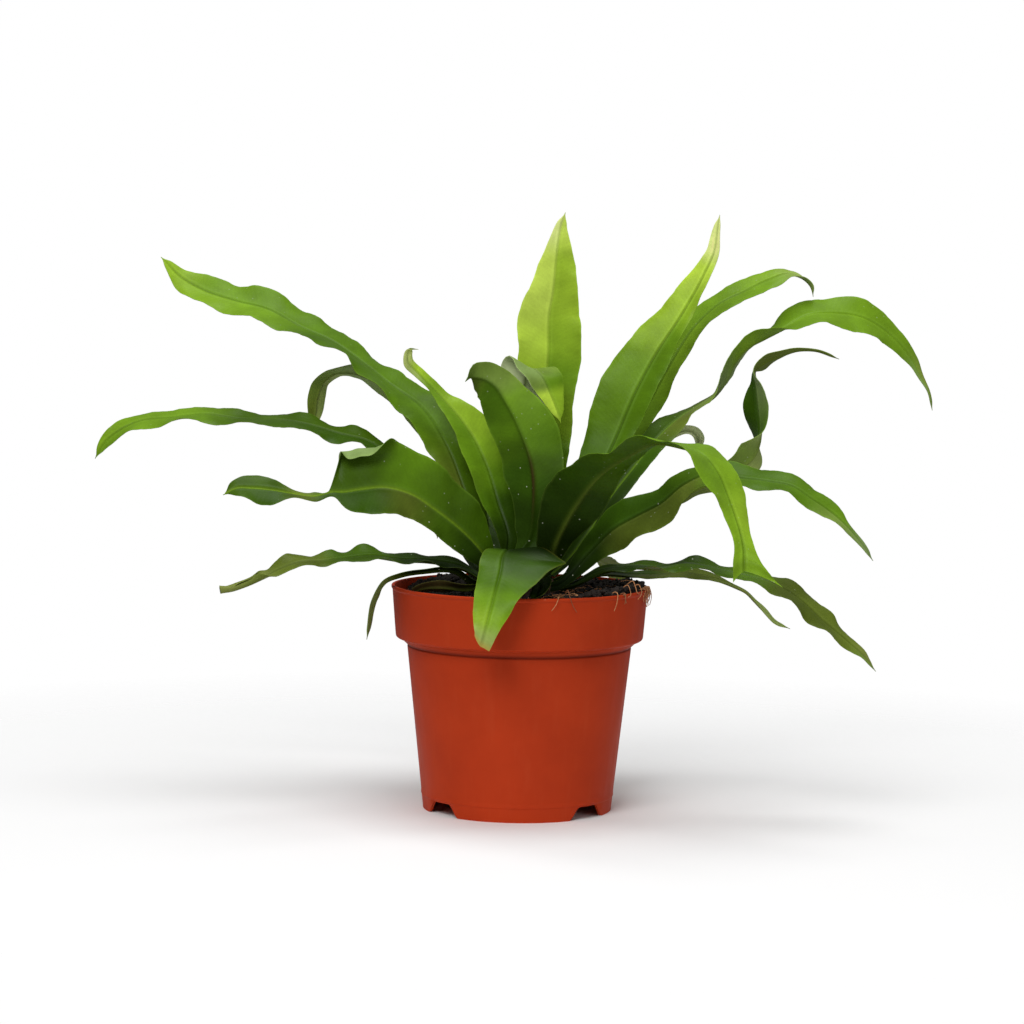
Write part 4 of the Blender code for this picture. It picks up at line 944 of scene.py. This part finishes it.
# ---------------------------------------------------------------- soil
def soil_base_height(x, y):
    away = np.hypot(x, y) / inner_radius(POT_HEIGHT)
    level = CROWN_RADIUS * 1.15 / inner_radius(POT_HEIGHT)
    share = np.clip((away - level) / (1.0 - level), 0.0, None)
    heap = SOIL_TILT * x / RIM_RADIUS
    lumps = np.sin(0.21 * x + 1.0) * np.cos(0.17 * y) + 0.6 * np.sin(0.31 * y + 0.13 * x)
    turn = np.arctan2(y, -x)
    bank = 8.5 * np.exp(-(((turn - 0.75) / 0.62) ** 2)) * smoothstep(0.25, 0.95, share)
    return SOIL_LEVEL + share * (heap + 0.7 * lumps - 1.0) + bank


def crumbly(x, y, seed):
    """Uneven height made of many waves in all directions, from broad to fine."""
    random = np.random.default_rng(seed)
    total = np.zeros_like(x)
    for size, strength in ((11.0, 0.5), (6.0, 0.45), (3.3, 0.35), (1.9, 0.25), (1.1, 0.15)):
        for _ in range(5):
            turn, phase = random.uniform(0.0, 6.28, 2)
            along = (x * np.cos(turn) + y * np.sin(turn)) * 6.28 / size
            total = total + strength * 0.45 * np.sin(along + phase + 0.8 * np.sin(along * 0.37 + phase))
    return total


def make_soil():
    steps, rings = 420, 150
    edge = inner_radius(SOIL_LEVEL - 4.0) - 0.35
    radii = edge * np.linspace(1.0, 0.003, rings)
    around = circle(steps)
    x, y = radii[:, None] * np.cos(around), radii[:, None] * np.sin(around)
    z = soil_base_height(x, y) + crumbly(x, y, 4) * smoothstep(edge, edge - 1.5, radii)[:, None]
    low = BAND_BOTTOM + 4.0
    foot = np.stack(((edge - 0.5) * np.cos(around), (edge - 0.5) * np.sin(around), low + 0 * around), axis=-1)
    points = np.concatenate((foot, np.stack((x, y, z), axis=-1).reshape(-1, 3)))
    soil = add_mesh("peat", points, capped_faces(rings + 1, steps), soil_material("peat"), sharp=0)
    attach(soil, "root")
    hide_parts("soil")


def crumb(random, x, y, z, size):
    """A small uneven blob: points and faces."""
    phi = (1.0 + 5.0 ** 0.5) / 2.0
    corners = np.array((
        (-1, phi, 0), (1, phi, 0), (-1, -phi, 0), (1, -phi, 0), (0, -1, phi), (0, 1, phi),
        (0, -1, -phi), (0, 1, -phi), (phi, 0, -1), (phi, 0, 1), (-phi, 0, -1), (-phi, 0, 1)), float)
    faces = (
        (0, 11, 5), (0, 5, 1), (0, 1, 7), (0, 7, 10), (0, 10, 11), (1, 5, 9), (5, 11, 4),
        (11, 10, 2), (10, 7, 6), (7, 1, 8), (3, 9, 4), (3, 4, 2), (3, 2, 6), (3, 6, 8),
        (3, 8, 9), (4, 9, 5), (2, 4, 11), (6, 2, 10), (8, 6, 7), (9, 8, 1))
    corners = unit(corners) * random.uniform(0.7, 1.25, (12, 1))
    turn = np.linalg.qr(random.normal(size=(3, 3)))[0]
    corners = (corners * random.uniform(0.55, 1.0, 3)) @ turn.T * size
    return corners + (x, y, z), faces


def crumb_spots(random):
    """Where crumbs lie and how big they are: all over the soil, with more heaped by the wall at +X."""
    spots = []
    edge = inner_radius(POT_HEIGHT) - 1.2
    for _ in range(SPREAD_CRUMBS):
        away = edge * np.sqrt(random.uniform(0.05, 1.0))
        turn = random.uniform(0.0, 6.283)
        x, y = away * np.cos(turn), away * np.sin(turn)
        z = float(soil_base_height(x, y)) + random.uniform(-0.2, 0.7)
        spots.append((x, y, z, random.uniform(0.35, 1.5)))
    for _ in range(HEAPED_CRUMBS):
        turn = random.normal(-0.75, 0.5)
        away = edge - abs(random.normal(0.0, 2.6))
        heap = 3.2 * np.exp(-((turn + 0.75) / 0.5) ** 2)
        x, y = away * np.cos(turn), away * np.sin(turn)
        z = float(soil_base_height(x, y)) + random.uniform(0.0, heap + 0.6)
        spots.append((x, y, z, random.uniform(0.5, 1.7)))
    return spots


def make_crumbs():
    random = np.random.default_rng(21)
    points, faces = joined([crumb(random, *spot) for spot in crumb_spots(random)])
    crumbs = add_mesh("peat_crumbs", points, faces, soil_material("peat_crumbs"), sharp=0)
    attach(crumbs, "root")


def soil_material(name):
    nodes = Nodes(name)
    coordinates = object_coordinates(nodes)
    coarse = nodes.noise(coordinates, 260.0, 5.0, 0.65)
    fine = nodes.noise(coordinates, 1800.0, 3.0, 0.6)
    base = nodes.mix(nodes.ramp(coarse, 0.35, 0.65), srgb(16, 10, 7), srgb(38, 26, 18))
    base = nodes.mix(nodes.ramp(fine, 0.62, 0.74, 0.0, 0.45), base, srgb(96, 66, 42))
    height = nodes.plus(nodes.times(coarse, 2.0), fine)
    return nodes.finish(base, nodes.ramp(fine, 0.3, 0.7, 0.75, 1.0), nodes.bump(height, 0.0005, 0.9))


# ---------------------------------------------------------------- roots
def tube(points, radii, sides=7):
    """A thin closed tube through smooth points: points and faces."""
    points = np.asarray(points, float)
    along = np.linspace(0.0, 1.0, len(points))
    fine = np.linspace(0.0, 1.0, max(12, 6 * len(points)))
    line = smooth_curve(points, along, fine)
    thick = np.interp(fine, (0.0, 1.0), radii)
    forward = unit(np.gradient(line, axis=0))
    side = unit(np.cross(forward, (0.31, 0.22, 0.93)))
    other = np.cross(forward, side)
    turn = circle(sides)
    ring = (
        line[:, None, :] + side[:, None, :] * (np.cos(turn)[None, :] * thick[:, None])[..., None]
        + other[:, None, :] * (np.sin(turn)[None, :] * thick[:, None])[..., None])
    return ring.reshape(-1, 3), capped_faces(len(line), sides)


def rim_point(degrees, height, out=0.0):
    """Point at the rim: degrees from the front towards +X."""
    around, away = np.radians(degrees - 90.0), RIM_RADIUS + LIP + out
    return np.array((away * np.cos(around), away * np.sin(around), POT_HEIGHT + height))


def root_paths():
    """Dry root strands that hang over the front and right of the rim, then loose ones on the soil."""
    random = np.random.default_rng(5)
    paths = []
    for degrees, up, down, slant, thick in (
            (17.0, 0.6, 5.4, -3.4, 0.26), (21.5, 3.6, 6.4, 3.6, 0.24), (47.5, 1.6, 6.8, -2.6, 0.28),
            (51.5, -1.8, 3.8, 1.6, 0.3), (52.5, 0.5, 4.2, -0.6, 0.34), (68.0, 3.4, 3.0, -5.2, 0.28),
            (57.0, 4.0, 1.2, -3.0, 0.22), (62.0, 5.4, 0.6, 2.6, 0.26)):
        line = (
            rim_point(degrees, up - 1.6, -4.5), rim_point(degrees, up, -1.4),
            rim_point(degrees + 0.1 * slant, 0.5, 0.5), rim_point(degrees + 0.45 * slant, -down * 0.5, 0.8),
            rim_point(degrees + slant, -down, 0.7))
        paths.append((line, (thick, thick * 0.5)))
    for _ in range(HANGING_ROOTS):
        degrees = random.normal(80.0, 4.0)
        drop = random.uniform(2.0, 9.0)
        slant = random.normal(0.0, 6.0)
        mid = rim_point(degrees + slant * 0.7, -drop * 0.5, random.uniform(0.5, 1.4))
        line = (
            rim_point(degrees, -0.4, -4.0), rim_point(degrees, 0.8, -1.2), rim_point(degrees, 0.3, 0.5), mid,
            rim_point(degrees + slant * 0.4, -drop, 0.6))
        paths.append((line, (random.uniform(0.2, 0.36), 0.14)))
    for _ in range(LOOSE_ROOTS):
        turn = random.uniform(-2.6, 0.5)
        away = random.uniform(22.0, 55.0)
        x, y = away * np.cos(turn), away * np.sin(turn)
        heading = random.uniform(0.0, 6.283)
        line = []
        for _ in range(5):
            z = float(soil_base_height(np.array(x), np.array(y))) + random.uniform(0.4, 1.7)
            line.append((x, y, z))
            heading += random.normal(0.0, 0.6)
            x, y = x + 2.3 * np.cos(heading), y + 2.3 * np.sin(heading)
            reach = np.hypot(x, y)
            if reach > ROOT_REACH:
                x, y = x * ROOT_REACH / reach, y * ROOT_REACH / reach
        paths.append((line, (random.uniform(0.12, 0.3), 0.09)))
    return paths


def make_roots():
    tints = []
    random = np.random.default_rng(8)
    strands = [tube(line, radii) for line, radii in root_paths()]
    for corners, _ in strands:
        straw = mixed(srgb(232, 168, 112), srgb(138, 78, 44), random.uniform(0.0, 1.0))
        tints.append(np.repeat(straw[None, :], len(corners), axis=0))
    roots = add_mesh("roots", *joined(strands), root_material(), sharp=0)
    paint(roots, "tint", np.concatenate(tints))
    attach(roots, "root")


def root_material():
    nodes = Nodes("dry_root")
    tint = nodes.add("ShaderNodeAttribute", attribute_name="tint").outputs["Color"]
    grain = nodes.noise(object_coordinates(nodes), 900.0, 3.0)
    colour = nodes.mix(nodes.ramp(grain, 0.4, 0.75, 0.0, 0.5), tint, srgb(84, 48, 26))
    return nodes.finish(colour, nodes.ramp(grain, 0.3, 0.7, 0.6, 0.85), nodes.bump(grain, 0.0001, 0.6))


# ---------------------------------------------------------------- crown
def make_crown():
    """The rhizome under overlapping brown scales."""
    random = np.random.default_rng(14)
    steps, rings = 96, 30
    points = []
    for down in np.linspace(89.0, 1.0, rings):
        for step in range(steps):
            turn = 360.0 * step / steps
            bumps = 0.35 * np.sin(0.21 * turn + down * 0.31) * np.sin(0.13 * down) + random.normal(0.0, 0.06)
            points.append(crown_surface(turn, down, bumps - 0.3))
    for point in points[:steps]:
        point[2] = CROWN_BASE
    faces = capped_faces(rings, steps)
    start = len(points)
    for _ in range(SCALE_COUNT):
        turn, down = random.uniform(0.0, 360.0), np.degrees(np.arccos(random.uniform(0.05, 1.0)))
        root = crown_surface(turn, down, -0.2)
        tip = crown_surface(turn + random.normal(0.0, 9.0), max(down - random.uniform(8.0, 16.0), 0.5), 1.1)
        side = unit(np.cross(tip - root, root - (0.0, 0.0, CROWN_BASE))) * random.uniform(0.35, 0.6)
        lift = unit(root - (0.0, 0.0, CROWN_BASE)) * 0.14
        for middle, half in ((root, side), ((root + tip) / 2, side * 0.8), (tip, side * 0.1)):
            near, far = middle - half, middle + half
            points += [near + lift, far + lift, far - lift, near - lift]
        for row in (start, start + 4):
            for corner in range(4):
                beside = (corner + 1) % 4
                faces.append((row + corner, row + beside, row + 4 + beside, row + 4 + corner))
        faces.append((start + 3, start + 2, start + 1, start))
        faces.append((start + 8, start + 9, start + 10, start + 11))
        start += 12
    nodes = Nodes("scaly_rhizome")
    grain = nodes.noise(object_coordinates(nodes), 500.0, 4.0)
    colour = nodes.mix(nodes.ramp(grain, 0.3, 0.7), srgb(32, 20, 12), srgb(88, 60, 34))
    material = nodes.finish(colour, 0.85, nodes.bump(grain, 0.0003, 0.8))
    crown = add_mesh("scaly_crown", points, faces, material, sharp=60.0)
    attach(crown, "root")
    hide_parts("crown")


# ---------------------------------------------------------------- studio
def make_floor():
    """A round pale floor that fades into the white surroundings."""
    steps, rings = 96, 12
    points, faces = [(0.0, 0.0, 0.0)], []
    for ring in range(1, rings + 1):
        radius = FLOOR_RADIUS * ring / rings
        points += [(radius * np.cos(angle), radius * np.sin(angle), 0.0) for angle in circle(steps)]
    for step in range(steps):
        faces.append((0, 1 + step, 1 + (step + 1) % steps))
    faces += list(grid_faces(rings, steps, start=1, flip=True, wrap=True))
    nodes = Nodes("pale_floor")
    coordinates = object_coordinates(nodes)
    haze = nodes.noise(coordinates, 1.2, 2.0)
    colour = nodes.mix(nodes.ramp(haze, 0.3, 0.7), (0.95, 0.95, 0.95), (0.97, 0.97, 0.97))
    length = nodes.add("ShaderNodeVectorMath", operation="LENGTH")
    nodes.link(coordinates, length.inputs[0])
    fade = nodes.ramp(length.outputs["Value"], 0.05, 0.5, 1.0, 0.0)
    nodes.link(fade, nodes.surface.inputs["Alpha"])
    add_mesh("floor", points, faces, nodes.finish(colour, 0.7, gloss=0.1), sharp=0)


def add_light(name, place_at, size, energy):
    light = bpy.data.lights.new(name, "AREA")
    light.shape = "SQUARE"
    light.size = size
    light.energy = energy
    lamp = bpy.data.objects.new(name, light)
    lamp.location = place_at
    direction = Vector(PLANT_MIDDLE) - Vector(place_at)
    lamp.rotation_euler = direction.to_track_quat("-Z", "Y").to_euler()
    bpy.context.scene.collection.objects.link(lamp)


def make_studio():
    make_floor()
    add_light("key", (-0.5, -1.5, 1.5), 1.0, 23.5)
    add_light("fill", (1.2, -1.4, 0.6), 1.0, 3.4)
    add_light("overhead", (0.1, 0.1, 1.6), 0.9, 13.5)
    world = bpy.data.worlds.new("studio")
    world.use_nodes = True
    tree = world.node_tree
    background = tree.nodes["Background"]
    background.inputs["Color"].default_value = (1.0, 1.0, 1.0, 1.0)
    path = tree.nodes.new("ShaderNodeLightPath")
    strength = tree.nodes.new("ShaderNodeMapRange")
    strength.inputs["To Min"].default_value = 0.22
    strength.inputs["To Max"].default_value = 1.0
    tree.links.new(path.outputs["Is Camera Ray"], strength.inputs["Value"])
    tree.links.new(strength.outputs["Result"], background.inputs["Strength"])
    bpy.context.scene.world = world
    bpy.context.scene.view_settings.view_transform = "Standard"


def make_camera():
    yaw, pitch, roll = np.radians(CAMERA_YAW), np.radians(CAMERA_PITCH), np.radians(CAMERA_ROLL)
    forward = Vector((np.sin(yaw) * np.cos(pitch), np.cos(yaw) * np.cos(pitch), -np.sin(pitch)))
    level = Vector((np.cos(yaw), -np.sin(yaw), 0.0))
    above = level.cross(forward)
    right = np.cos(roll) * level + np.sin(roll) * above
    up = -np.sin(roll) * level + np.cos(roll) * above
    data = bpy.data.cameras.new("camera")
    data.lens = 113.0
    data.sensor_width = 36.0
    camera = bpy.data.objects.new("camera", data)
    turn = Matrix((right, up, -forward)).transposed().to_4x4()
    camera.matrix_world = Matrix.Translation(CAMERA_PLACE) @ turn
    bpy.context.scene.collection.objects.link(camera)
    bpy.context.scene.camera = camera


def main():
    make_camera()
    make_studio()
    for name, frond in FRONDS.items():
        make_frond(name, frond, LEAF_MATERIALS[SLOTS.get(name, "blade")])
    make_pot()
    make_soil()
    make_crumbs()
    make_roots()
    make_crown()


main()
